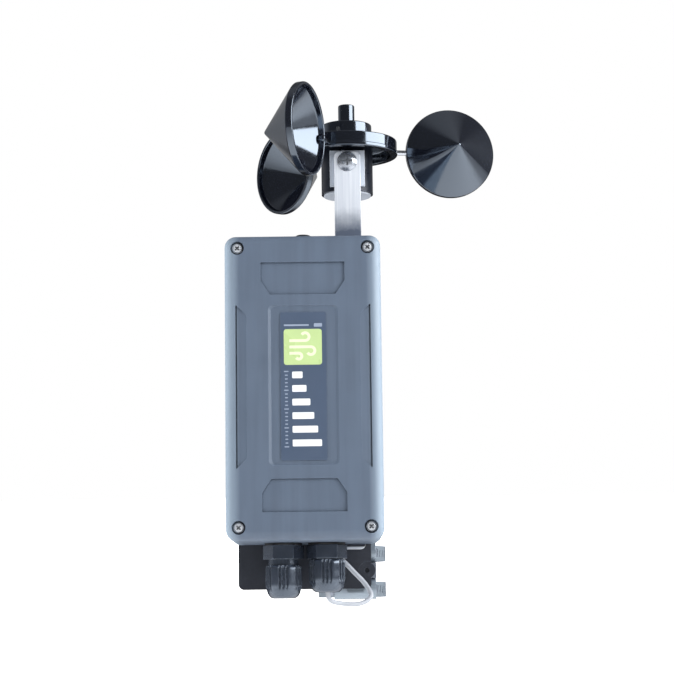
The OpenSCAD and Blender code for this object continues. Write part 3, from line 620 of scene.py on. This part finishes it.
def rotor_hub():
    """Disc with a hollow underside, raised centre and boss, turned in one piece."""
    cavity_r = 25.5
    boss_r = 4.75
    roof = 6.4
    disc_t = 8.6
    cap_top = disc_t + 9.7
    top = HUB_HIGH.z - HUB_LOW.z
    profile = fillet([
        (0, roof), (cavity_r, roof, 1.0), (cavity_r, 0, 0.4), (DISC_R, 0, 0.8), (DISC_R, 2.1, 0.2),
        (DISC_R - 0.35, 2.3, 0.2), (DISC_R - 0.35, disc_t, 1.0), (DISC_R - 2.2, disc_t, 0.2),
        (DISC_R - 2.5, disc_t - 0.4, 0.2), (CAP_R + 2.4, disc_t - 0.4, 0.4),
        (CAP_R + 2.0, disc_t + 0.5, 0.4), (CAP_R + 0.1, disc_t + 0.7, 0.5), (CAP_R, cap_top, 0.9),
        (boss_r + 3.4, cap_top, 0.3),
        (boss_r + 3.0, cap_top - 0.5, 0.3), (boss_r + 0.6, cap_top - 0.5, 0.5),
        (boss_r, cap_top + 0.8, 0.5),
        (boss_r, top, 0.8), (1.5, top, 0.3), (1.3, top - 0.6, 0.2), (0, top - 0.7)], 0.4)
    shape = lathe(profile, 144)
    for out in grub_directions():
        hole = rod(1.5, 0, 4, 32)
        moved(hole, *(out * (CAP_R - 1.4) + Vector((0, 0, disc_t + 5))), turn=facing(out))
        shape = combine(shape, hole)
    moved(shape, AXIS.x, AXIS.y, HUB_LOW.z)
    add_piece("rotor_hub_fine", shape, "rotor", "rotor_black", "rotor_hub", sharp=50)


def grub_screws():
    """Two socket screws that lock the hub to its shaft."""
    height = HUB_LOW.z + 13.6
    for i, out in enumerate(grub_directions()):
        profile = [(0, 0), (1.4, 0), (1.4, 1.1, 0.2), (0.8, 1.1, 0.1), (0.75, 0.4), (0, 0.4)]
        shape = moved(lathe(fillet(profile, 0.1, 3), 32), AXIS.x, AXIS.y, height, turn=facing(out))
        moved(shape, *(out * (CAP_R - 1.4)))
        add_piece(f"hub_grub_screw_{i + 1}", shape, "rotor", "steel_bright", slot="steel_bright")


def cup(index):
    """One cup: a cone with a rounded point, a straight collar and the socket for its spoke."""
    rim_r = 26.1
    length = 26.8
    wall = 2.4
    collar_h = 3.8
    inner_r = rim_r - 1.9
    spoke_height = 1.6
    socket_r = 2.4
    socket_depth = 2.6
    outline = [(0, length), (0.9, length - 0.45, 0.9), (rim_r - 0.35, collar_h + 0.25, 0.5),
               (rim_r, collar_h - 0.3, 0.4), (rim_r, 0, 0.7), (inner_r, 0, 0.7),
               (inner_r, collar_h - 0.5, 0.6), (0.8, length - wall - 0.7, 1.2), (0, length - wall)]
    shape = lathe(fillet(outline, 0.4, 6), 144)
    socket = lathe(fillet([(0, 0), (socket_r, 0, 0.3), (socket_r - 0.1, socket_depth - 0.3, 0.6),
                           (socket_r / 2, socket_depth, 0.4), (0, socket_depth)], 0.2), 40)
    moved(socket, socket_r / 2 - rim_r, 0, spoke_height, turn=TO_RIGHT)
    shape = merge(shape, socket)
    arm = math.radians(ARM_ANGLE + 120 * index)
    to_apex = Matrix.Rotation(math.radians(90), 3, "X")
    moved(shape, turn=to_apex)
    moved(shape, ARM_LENGTH, 0, 0)
    moved(shape, AXIS.x, AXIS.y, CUP_Z, turn=Matrix.Rotation(arm, 3, "Z"))
    node = ("right_cup", "rear_cup", "front_cup")[index]
    add_piece(node + "_fine", shape, "rotor", "cup_black", node, sharp=50)


def rotor():
    rotor_hub()
    grub_screws()
    for index in range(3):
        cup(index)
    refine("cup_spokes", "spoke_steel", 0.3)
    refine("rotor_shaft", "steel_bright", 0.15)
    refine("rotor_magnet", "magnet_nickel", 0.2)
    refine("shaft_circlip", "clamp_steel", 0.1, slot="steel_bright")


# ---------- sensor head and bracket ----------

def head():
    refine("head_housing", "head_anodised", 0.4, 3)
    refine("upper_bushing", "bronze_bush", 0.25)
    refine("lower_bushing", "bronze_bush", 0.25)
    refine("thrust_washer", "nylon_white", 0.15)
    refine("reed_switch", "reed_glass", 0.4, 4)
    refine("head_end_cap", "cap_grey", 0.25)
    refine("bracket_pad", "pad_aluminium", 0.4, 3)
    refine("bracket_screw", "bracket_bolt_steel", 0.15)
    refine("bracket_strip", "strip_bar", 0.5, 3)


# ---------- enclosure ----------

def lid_skin():
    """The lid's outer skin: straight sides and a full round edge all the way along."""
    radius = 5.2
    corner_r = 6
    draft = 0.05
    steps = ((0, LID_PARTING), (draft, LID_PARTING - 0.8), (draft, LID_FRONT + radius + 0.6))
    roll = [(draft + radius * (1 - math.cos(a)), LID_FRONT + radius * (1 - math.sin(a)))
            for a in (math.radians(d) for d in range(6, 91, 6))]
    rings = []
    for inset, y in (*steps, *roll):
        outline = rounded_rect(LID_W - 2 * inset, LID_H - 2 * inset, max(corner_r - inset * 0.6, 1.5), 10)
        rings.append([(p.x + LID_MID.x, y, p.y + LID_MID.z) for p in outline])
    return loft(rings)


def side_groove_cutter(side):
    """A side groove: a shallow ramp that deepens outwards. Its slit is cut separately."""
    half = 44.2
    outer = 36.2
    inner = 30.6
    deep = 0.9
    shallow = 0.1
    corners = [(outer, half, deep), (inner, half - outer + inner, shallow),
               (inner, outer - inner - half, shallow), (outer, -half, deep)]
    shape = bmesh.new()
    front = [shape.verts.new((LID_MID.x + side * x, LID_FRONT - 2, LID_MID.z + z)) for x, z, d in corners]
    back = [shape.verts.new((LID_MID.x + side * x, LID_FRONT + d, LID_MID.z + z)) for x, z, d in corners]
    shape.faces.new(front)
    shape.faces.new(back[::-1])
    for i in range(4):
        j = (i + 1) % 4
        shape.faces.new((front[i], back[i], back[j], front[j]))
    return shape


def slit_cutter(side):
    """The slit along a side groove's outer wall."""
    slit_x = 35.9
    slit_w = 0.75
    slit_h = 87.6
    slit_d = 2.2
    outline = rounded_rect(slit_w, slit_h, 0.3, 3)
    return slab(outline, LID_FRONT - 1, LID_FRONT + slit_d, (LID_MID.x + side * slit_x, LID_MID.z))


def sunk(outline, depth, slope):
    """A cutter for a recess with sloped walls. Each point has its own share of the slope in X and in Z."""
    rings = []
    for y, grow in ((LID_FRONT - 1, slope * (1 + 1 / depth)), (LID_FRONT + depth, 0)):
        rings.append([(LID_MID.x + x + sx * grow, y, LID_MID.z + z + sz * grow)
                      for x, z, sx, sz in outline])
    return loft(rings)


def end_panel_cutter(side):
    """End panel: a flat recess with square outer corners and cut inner corners."""
    half = 22.6
    outer_z = 67.2
    shoulder_z = 57
    inner_z = 49.5
    cut = 5
    depth = 1.1
    points = [(-half, outer_z), (half, outer_z), (half, shoulder_z), (half - cut, inner_z),
              (cut - half, inner_z), (-half, shoulder_z)]
    outline = [Vector((x, side * z)) for x, z in closed_fillet(points, 0.5, 3)]
    return slab(outline, LID_FRONT - 1, LID_FRONT + depth, LID_MID.xz)


def centre_cutter():
    """The label's recess, its walls sloped at the sides."""
    width = 34.6
    height = 84.8
    above_mid = 0.6
    end_slope = 0.45
    outline = [(p.x, p.y + above_mid, math.copysign(1, p.x), math.copysign(end_slope, p.y))
               for p in rounded_rect(width, height, 2.6, 6)]
    return sunk(outline, 0.8, 1.5)


def lid_screw_places():
    low, high = span("lid_screws")
    head_r = 2.95
    for x in (low.x + head_r, high.x - head_r):
        for z in (low.z + head_r, high.z - head_r):
            yield x, z


def enclosure_lid():
    """The lid: a shell with four screw posts, its side grooves, end panels and label recess."""
    wall = 3
    side_walls = 7
    post_r = 4.8
    post_h = 14.5
    shank_r = 2.2
    head_r = 3.7
    seat = 13.8
    mouth = 19
    hollow = rounded_rect(LID_W - side_walls, LID_H - side_walls, 3.2)
    shape = combine(lid_skin(), slab(hollow, LID_FRONT + wall, LID_PARTING + 1, LID_MID.xz))
    for x, z in lid_screw_places():
        column = rod(post_r, 0, post_h)
        moved(column, x, LID_PARTING - 0.01, z, turn=TO_FRONT)
        shape = combine(shape, column, "UNION")
        profile = ((0, -1), (shank_r, -1), (shank_r, seat), (head_r, seat), (head_r, mouth), (0, mouth))
        hole = lathe(profile, 64)
        moved(hole, x, LID_PARTING, z, turn=TO_FRONT)
        shape = combine(shape, hole)
    for side in (-1, 1):
        shape = combine(shape, side_groove_cutter(side))
        shape = combine(shape, slit_cutter(side))
        shape = combine(shape, end_panel_cutter(side))
    shape = combine(shape, centre_cutter())
    soften(shape, 0.22, 2, 24)
    add_piece("enclosure_lid_fine", shape, "lid", "enclosure_plastic", "enclosure_lid", sharp=30)


def cross_screw(head_r, head_t, shank_r, shank_len):
    """A pan-head screw with a cross recess, its head's underside at zero and its head up."""
    profile = fillet([(0, -shank_len), (shank_r - 0.4, -shank_len, 0.2), (shank_r, 0.4 - shank_len, 0.2),
                      (shank_r, 0, 0.1), (head_r, 0, 0.2), (head_r, head_t * 0.45, 0.3),
                      (head_r * 0.72, head_t * 0.93, 0.6), (0, head_t)], 0.2, 4)
    shape = lathe(profile, 48)
    half = head_r * 0.62
    arm = head_r * 0.15
    for turn in (45, 135):
        blade = loft([[(x * (half if z > 0 else half * 0.5), y * arm, z)
                       for x, y in ((-1, -1), (1, -1), (1, 1), (-1, 1))] for z in (-0.3, head_t + 1)])
        moved(blade, turn=Matrix.Rotation(math.radians(turn), 3, "Z"))
        shape = combine(shape, blade)
    return shape


def lid_screws():
    """Four cross-head screws, sunk in the lid's corners."""
    _, high = span("lid_screws")
    seat = LID_FRONT + 3.2
    screws = [moved(cross_screw(2.85, 2.3, 2, high.y - seat), x, seat, z, turn=TO_FRONT)
              for x, z in lid_screw_places()]
    add_piece("lid_screws_fine", merge(*screws), "lid", "lid_screw_steel", "lid_screws")


def ribbon(points, width):
    """The outline of a stroke with a steady width along a path of 2-D points."""
    left, right = [], []
    for i, p in enumerate(points):
        ahead = points[min(i + 1, len(points) - 1)]
        behind = points[max(i - 1, 0)]
        heading = (ahead - behind).normalized()
        normal = Vector((-heading.y, heading.x)) * (width / 2)
        left.append(p + normal)
        right.append(p - normal)
    return left + right[::-1]


def wind_line(z, length, curl):
    """A straight stroke that ends in a curl: half of the usual sign for wind."""
    start = -7
    path = [Vector((start + length * i / 8, z)) for i in range(9)]
    centre = Vector((start + length, z + curl))
    for i in range(1, 15):
        angle = math.radians(-90 + 17 * i) * (1 if curl > 0 else -1)
        path.append(centre + Vector((math.cos(angle), math.sin(angle))) * abs(curl))
    return ribbon(path, 1.5)


def label():
    """A plain label: a green square with a wind sign, a row of rising bars and a tick scale."""
    low, high = span("lid_label")
    face = low.y
    width = high.x - low.x
    height = high.z - low.z
    mid = middle("lid_label").xz
    film = soften(slab(rounded_rect(width, height, 0.8), face, high.y, mid), 0.08)
    add_piece("lid_label_fine", film, "lid", "label_film", "lid_label")

    ink = 0.05

    def print_shape(outline, x, z, lift=ink):
        centre = (LID_MID.x + x, LID_MID.z + z)
        return slab(outline, face - lift, face - lift + ink, centre)

    green = print_shape(rounded_rect(20.4, 19.3, 1.4), -0.2, 21)
    add_piece("label_green_square", green, "lid", "label_green", slot="label_print")
    strokes = ((3.0, 8.5, 2.1), (-0.4, 11.5, -2.1), (-3.8, 5, -1.6))
    sign = merge(*[print_shape(wind_line(*stroke), -0.4, 21.4, 2 * ink) for stroke in strokes])
    add_piece("label_wind_sign", sign, "lid", "label_pale", slot="label_print")

    bars = []
    bar_step = 7.3
    for i in range(6):
        length = 5.6 + 2.0 * i
        bars.append(print_shape(rounded_rect(length, 3.6, 0.5, 4), -6.1 + length / 2, 5.9 - bar_step * i))
    add_piece("label_bars", merge(*bars), "lid", "label_white", slot="label_print")

    ticks = [print_shape(rounded_rect(13.4, 0.9, 0.3, 3), -3.6, 32.8),
             print_shape(rounded_rect(4.4, 1.9, 0.4, 3), 8.0, 32.8)]
    tick_step = 2.02
    for i in range(21):
        length = 2.4 if i % 5 == 0 else 1.5
        ticks.append(print_shape(rounded_rect(length, 0.6, 0.2, 3), -9.2, 7.8 - tick_step * i))
    add_piece("label_ticks", merge(*ticks), "lid", "label_grey", slot="label_print")


def enclosure():
    enclosure_lid()
    label()
    refine("enclosure_base", "base_plastic", 0.3)
    refine("lid_gasket", "seal_rubber", 0.2)
    refine("thread_inserts", "bronze_bush", 0.2)
    lid_screws()
    refine("vent_plug", "vent_nylon", 0.25)
    refine("vent_locknut", "vent_nylon", 0.3)


# ---------- inside ----------

def board_parts():
    """Chips with pins, rows of small parts and two capacitors on the circuit board."""
    pitch = 1.0
    low, _ = span("circuit_board")
    mid = middle("circuit_board")
    face = low.y
    chips = ((12, -4, 9, 9, 1.4), (14, 12, 6, 4, 1.2), (-2, 15, 4, 5, 1.2), (-2, 3, 3, 3, 0.9),
             (24, -10, 5, 4, 1.1), (4, -8, 3, 5, 1.0))
    shapes = []
    pins = []
    for x, z, w, h, t in chips:
        outline = rounded_rect(w, h, 0.3, 3)
        shapes.append(soften(slab(outline, face - t, face - 0.15, (mid.x + x, mid.z + z)), 0.15))
        count = int(h / pitch)
        for side in (-1, 1):
            for k in range(count):
                centre = (mid.x + x + side * (w / 2 + 0.35), mid.z + z + (k - (count - 1) / 2) * pitch)
                pins.append(slab(rounded_rect(1.0, 0.45, 0.1, 2), face - 0.35, face - 0.01, centre))
    add_piece("board_chips", merge(*shapes), "mount", "chip_epoxy", slot="board_green")
    passives = []
    for row in range(3):
        for column in range(7):
            x = -27 + column * 3.1 + (row % 2) * 1.2
            centre = (mid.x + x, mid.z - 21 + row * 2.6)
            if abs(x + 18) > 10 or row == 0:
                passives.append(slab(rounded_rect(1.7, 0.9, 0.12, 2), face - 0.6, face - 0.01, centre))
    add_piece("board_solder", merge(*pins, *passives), "mount", "steel_bright", slot="board_green")
    cans = []
    for x, z, r, h in ((27, 18, 3.1, 5.4), (20, 21, 2.0, 4.0)):
        profile = fillet([(0, 0), (r, 0, 0.2), (r, h * 0.22, 0.3), (r * 0.93, h * 0.28, 0.2),
                          (r, h * 0.34, 0.2), (r, h, 0.4), (r * 0.8, h, 0.1), (r * 0.75, h - 0.15),
                          (0, h - 0.15)], 0.1)
        cans.append(moved(lathe(profile, 48), mid.x + x, face - 0.01, mid.z + z, turn=TO_FRONT))
    add_piece("board_capacitors", merge(*cans), "mount", "radio_shield", slot="board_green")


def inside():
    refine("circuit_board", "board_mask", 0.12)
    refine("radio_module", "radio_shield", 0.3, slot="steel_bright")
    refine("terminal_block", "terminal_green", 0.2)
    refine("board_screws", "steel_bright", 0.2, slot="steel_bright")
    refine("battery_holder", "holder_black", 0.5, slot="rotor_plastic")
    refine("battery_cells", "cell_wrap", 0.5, 3)
    refine("battery_contacts", "spoke_steel", 0.1)
    refine("battery_leads", "lead_pvc", 0.05, 1, 80)
    board_parts()


# ---------- glands and cable ----------

def gland_nut(side):
    """A dome nut with grip ridges round its skirt."""
    node = side + "_gland_nut"
    low, high = span(node)
    mid = middle(node)
    nut_r = (high.x - low.x) / 2
    height = high.z - low.z
    rib_h = 0.8
    skirt = nut_r - rib_h
    mouth = 4.6
    sides = 6
    side_angle = 360 / sides
    dome_h = 6.2
    dome = [(5.4 + (skirt - 5.4) * math.cos(a), height - dome_h * (1 - math.sin(a)))
            for a in (math.radians(d) for d in range(0, 81, 10))]
    rise = [(skirt, 1.2 + (height - dome_h - 1.4) * i / 8) for i in range(9)]
    outside = [(skirt - 0.5, 0), (skirt - 0.05, 0.25), *rise, *dome, (5.6, height), (5.0, height - 0.05)]
    bore_r = 8.45
    bore_h = 10.8
    inner_wall = [(mouth, height - 0.5), (mouth, bore_h + 0.2), (bore_r, bore_h), (bore_r, 0.5),
                  (bore_r + 0.45, 0)]

    def step(value, start, end):
        t = min(max((value - start) / (end - start), 0), 1)
        return t * t * (3 - 2 * t)

    def grip(angle, z):
        """A smooth pad on each of six sides, and two slim ribs between neighbours."""
        along = step(z, 0.3, 1.4) * step(height - dome_h + 1 - z, 0, 1.8)
        off_pad = abs((math.degrees(angle) + side_angle / 2) % side_angle - side_angle / 2)
        pad = 1 - step(off_pad, 13, 16.5)
        rib = 1 - step(abs(off_pad - 23.5), 1.6, 4)
        return rib_h * along * max(pad, 0.85 * rib) - 0.35 * along

    shape = lathe(outside + inner_wall, sides * 48, grip, len(outside))
    moved(shape, mid.x, mid.y, high.z, turn=Matrix.Rotation(math.pi, 3, "X"))
    add_piece(node + "_fine", shape, "mount", "gland_nylon", node, sharp=50)


def sensor_cable():
    """The light grey cable along its route: head, back of the plate, grommet, drip loop, right gland."""
    radius = 1.3
    head_low, _ = span("head_housing")
    plate_low, plate_high = span("mounting_plate")
    grommet = middle("cable_grommet")
    nut_low, _ = span("right_gland_nut")
    gland = middle("right_gland_nut")
    base_low, base_high = span("enclosure_base")
    board_low, _ = span("circuit_board")
    top = base_high.z
    bottom = base_low.z
    mid = (top + bottom) / 2
    head_y = AXIS.y + 8.4
    behind = plate_high.y + 5
    front = plate_low.y - 4
    loop_y = (front + gland.y) / 2
    mouth = nut_low.z
    path = [
        (0, head_y, head_low.z + 5), (0, head_y, head_low.z - 14), (0, head_y - 4, top + 4),
        (-3, behind, mid + 50), (-12, behind, mid), (grommet.x, behind, mid - 45),
        (grommet.x, behind, grommet.z + 10), (grommet.x, behind - 1.4, grommet.z + 3.2),
        (grommet.x, plate_high.y + 0.4, grommet.z + 0.3), (grommet.x, plate_low.y - 0.6, grommet.z),
        (grommet.x + 2.2, plate_low.y - 3, grommet.z + 0.2),
        (grommet.x + 6.6, front - 0.4, grommet.z + 0.2),
        (grommet.x + 11.6, front - 0.8, grommet.z - 3), (1, front - 1, -1.4), (7, front - 2, -8),
        (9.8, loop_y + 4, -14.6), (3.4, loop_y, -18.6), (-7.6, loop_y - 4, -18.2),
        (gland.x + 1.2, gland.y + 2, mouth - 3.6), (gland.x, gland.y, mouth + 3),
        (gland.x, gland.y, mouth + 6), (gland.x, gland.y, bottom - 4), (gland.x, gland.y, bottom + 12),
        (gland.x - 1, gland.y + 3, bottom + 18), (LID_MID.x + 4, board_low.y - 3.2, mid - 55.6)]
    shape = tube(smooth_path(path), radius, 24)
    add_piece("sensor_cable_fine", shape, "mount", "cable_pvc", "sensor_cable", sharp=60)


def glands():
    for side in ("left", "right"):
        gland_nut(side)
        refine(side + "_gland_body", "gland_nylon", 0.4, 3)
        refine(side + "_gland_seal", "seal_rubber", 0.2)
    refine("blanking_pin", "gland_nylon", 0.4, 3)
    refine("gland_locknuts", "gland_nylon", 0.3)
    refine("gland_washers", "seal_rubber", 0.2)
    sensor_cable()
    refine("cable_grommet", "grommet_rubber", 0.25, 3)


# ---------- plate and pole clamp ----------

def band_path(gap):
    """The closed line of a clamp band: round the pole, straight to the saddle's front and across it."""
    pole_r = 19
    radius = pole_r + gap
    corner_x = 9.9
    corner_y = 22.05 + gap
    reach = math.hypot(corner_x, corner_y)
    touch = math.atan2(-corner_y, corner_x) + math.acos(radius / reach)
    sweep = math.pi - 2 * touch
    arc = []
    count = 60
    for i in range(count + 1):
        angle = touch + sweep * i / count
        arc.append(Vector((radius * math.cos(angle), radius * math.sin(angle))))
    corners = fillet([arc[-1], (-corner_x, -corner_y, 1.6), (corner_x, -corner_y, 1.6), arc[0]], 1.6, 6)
    return arc + corners[1:-1]


def evenly(points, step):
    """Points at an even step along a closed line."""
    loop = points + [points[0]]
    result = []
    carry = 0.0
    for a, b in zip(loop, loop[1:]):
        length = (b - a).length
        while carry < length:
            result.append(a.lerp(b, carry / length))
            carry += step
        carry -= length
    return result


def clamp_band(name):
    """A worm-drive band: thin steel with a row of slots where the worm bites."""
    node = name + "_clamp_band"
    mid = middle(node)
    low, high = span(node)
    half = (high.z - low.z) / 2
    thick = 0.62
    step = 1.05
    lean = 0.22
    slot_every = 3
    line = evenly(band_path(0.35), step)
    rows = [-half, -half + 0.3, -half * 0.56, -half * 0.5, 0, half * 0.5, half * 0.56, half - 0.3, half]
    shape = bmesh.new()
    grid = []
    count = len(line)
    for i, p in enumerate(line):
        slope = (line[(i + 1) % count] - p) * lean
        grid.append([shape.verts.new((p.x + slope.x * z, p.y + slope.y * z, mid.z + z)) for z in rows])
    for i in range(count):
        j = (i + 1) % count
        front_run = line[i].y < -6 or line[i].x > 12
        for k in range(len(rows) - 1):
            slot_row = 2 < k < 5
            if slot_row and front_run and i % slot_every == 0:
                continue
            shape.faces.new((grid[i][k], grid[j][k], grid[j][k + 1], grid[i][k + 1]))
    bmesh.ops.recalc_face_normals(shape, faces=shape.faces)
    bmesh.ops.solidify(shape, geom=shape.faces[:], thickness=thick)
    add_piece(node + "_fine", shape, "mount", "clamp_steel", node, sharp=50)


def worm_housing(name):
    """A pressed housing with a round back, open ends and cheeks that hold the band."""
    node = name + "_worm_housing"
    low, high = span(node)
    mid = middle(node)
    screw = middle(name + "_worm_screw")
    band_y = span("upper_clamp_band")[0].y - 0.02
    half = (high.z - low.z) / 2
    back = 4.2
    cheek = 1.4
    end_wall = 1.6
    bore_r = 3.55
    waist_r = 12
    waist_w = 9
    outline = [Vector((high.y, mid.z - half))]
    for i in range(13):
        angle = math.radians(180 * i / 12)
        outline.append(Vector((low.y + back - back * math.sin(angle), mid.z - half * math.cos(angle))))
    outline.append(Vector((high.y, mid.z + half)))
    shape = bar(outline, low.x, high.x)
    bottom = mid.z - half + cheek
    top = mid.z + half - cheek
    corners = ((band_y, bottom), (high.y + 1, bottom), (high.y + 1, top), (band_y, top))
    shape = combine(shape, bar([Vector(corner) for corner in corners], low.x - 1, high.x + 1))
    length = high.x - low.x
    cutters = ((rod(bore_r, end_wall, length - end_wall, 48), low.x, screw.y, screw.z),
               (rod(2.5, -1, length + 1, 40), low.x, screw.y, screw.z),
               (rod(waist_r, -waist_w / 2, waist_w / 2), mid.x, low.y + 0.6 - waist_r, mid.z))
    for cutter, x, y, z in cutters:
        shape = combine(shape, moved(cutter, x, y, z, turn=TO_RIGHT))
    soften(shape, 0.45, 3, 30)
    add_piece(node + "_fine", shape, "mount", "clamp_steel", node)


def clamp():
    refine("mounting_plate", "plate_paint", 0.45, 3)
    refine("plate_screws", "steel_bright", 0.25)
    refine("plate_nuts", "zinc_steel", 0.3)
    refine("plate_spacers", "zinc_steel", 0.2)
    refine("pole_saddle", "zinc_steel", 0.6, 3)
    refine("saddle_screws", "plate_paint", 0.15, slot="zinc_steel")
    for name in ("upper", "lower"):
        clamp_band(name)
        worm_housing(name)
        refine(name + "_worm_screw", "zinc_steel", 0.2)


# ---------- studio ----------

# How bright shiny parts see the room, its top and its rear wall, then how much light the room and floor add
ROOM_DARK = 0.08
ROOM_TOP = 0.3
WALL_PALE = 0.34
ROOM_FILL = 0.36
FLOOR_GLOW = 0.4


def camera():
    """A long lens almost square to the lid, a little below it and looking up."""
    target = Vector((LID_MID.x, LID_FRONT, LID_MID.z)) * MM
    offset = Vector((15.6, -1042, -125)) * MM
    pitch = math.radians(8.16)
    yaw = math.radians(-0.14)
    roll = math.radians(-0.73)
    data = bpy.data.cameras.new("camera")
    data.lens = 104
    data.sensor_width = 36
    item = place("camera", data)
    turn = (Matrix.Rotation(yaw, 4, "Z") @ Matrix.Rotation(math.pi / 2 + pitch, 4, "X")
            @ Matrix.Rotation(roll, 4, "Z"))
    item.matrix_world = Matrix.Translation(target + offset) @ turn
    scene.camera = item


def panel(name, azimuth, elevation, distance, width, height, power, mirrored=True):
    """A softbox that faces the object. Azimuth 0 is the camera's side and 90 is the right."""
    centre = Vector((-0.01, -0.04, 0.13))
    a = math.radians(azimuth)
    e = math.radians(elevation)
    out = Vector((math.sin(a) * math.cos(e), -math.cos(a) * math.cos(e), math.sin(e)))
    data = bpy.data.lights.new(name, "AREA")
    data.shape = "RECTANGLE"
    data.size = width
    data.size_y = height
    data.energy = power
    item = place(name, data)
    item.location = centre + out * distance
    item.rotation_mode = "QUATERNION"
    item.rotation_quaternion = out.to_track_quat("Z", "Y")
    item.visible_glossy = mirrored


def surround():
    """White to the camera. Shiny parts see a dark room with a pale wall behind them, mostly on the left."""
    world = bpy.data.worlds.new("studio")
    scene.world = world
    w = Wiring(world)
    right, behind, up = w.add("SeparateXYZ", {0: w.coordinates["Generated"]}).outputs
    wall = w.calc("MULTIPLY", w.remap(behind, -0.1, 0.4), w.remap(up, 0.3, 0.7, 1, 0.1))
    wall = w.calc("MULTIPLY", wall, w.remap(right, -0.1, 0.5, 1, 0.45))
    room = w.remap(up, 0.85, 0.97, ROOM_DARK, ROOM_TOP)
    mirrored = w.calc("ADD", room, w.calc("MULTIPLY", wall, WALL_PALE))
    rays = w.add("LightPath", {}).outputs
    level = w.add("Mix", {0: rays["Is Glossy Ray"], 2: ROOM_FILL, 3: mirrored}).outputs[0]
    strength = w.add("Mix", {0: rays["Is Camera Ray"], 2: level, 3: 1.0}).outputs[0]
    background = w.tree.nodes["Background"]
    w.feed(background, "Color", (1, 1, 1, 1))
    w.feed(background, "Strength", strength)


def floor():
    """A pale paper floor that turns up behind the object. Shiny parts see its far end fade to dark."""
    w = new_material("floor_paper")
    tone = w.mix(w.drift(60, 2), (0.86, 0.86, 0.86, 1), (0.9, 0.9, 0.9, 1))
    rays = w.add("LightPath", {}).outputs
    distance = w.add("VectorMath", {0: w.place}, operation="LENGTH").outputs["Value"]
    lost = w.calc("MULTIPLY", rays["Is Camera Ray"], w.remap(distance, 0.5, 1.5, 0, 1.2))
    far = w.calc("MULTIPLY", rays["Is Glossy Ray"], w.remap(w.axis(1), 0.35, 0.9))
    w.feed(w.surface, "Base Color", w.mix(far, tone, (0.02, 0.02, 0.02, 1)))
    w.feed(w.surface, "Roughness", 0.8)
    w.feed(w.surface, "Emission Color", (1, 1, 1, 1))
    glow = w.remap(far, 0, 1, FLOOR_GLOW, 0.01)
    w.feed(w.surface, "Emission Strength", w.calc("ADD", glow, lost))
    half = 4.0
    drop = -0.42
    turn_y = 1.6
    turn_r = 0.6
    rows = [(-half, drop), (turn_y, drop)]
    rows += [(turn_y + turn_r * math.sin(a), drop + turn_r * (1 - math.cos(a)))
             for a in (math.radians(d) for d in range(10, 91, 10))]
    shape = bmesh.new()
    grid = [[shape.verts.new((x, y, z)) for x in (-half, half)] for y, z in rows]
    for a, b in zip(grid, grid[1:]):
        shape.faces.new((a[0], a[1], b[1], b[0]))
    mesh = bpy.data.meshes.new("floor")
    shape.to_mesh(mesh)
    shape.free()
    for face in mesh.polygons:
        face.use_smooth = True
    mesh.materials.append(w.owner)
    place("floor", mesh)


def studio():
    surround()
    floor()
    panel("right_softbox", 71, 22, 1.4, 1.3, 1.08, 29)
    panel("front_fill", -8, 34, 1.7, 1.4, 1.0, 10, mirrored=False)
    panel("left_fill", -92, 8, 1.3, 0.8, 1.0, 14, mirrored=False)
    scene.view_settings.view_transform = "Standard"


rotor()
head()
enclosure()
inside()
glands()
clamp()
camera()
studio()
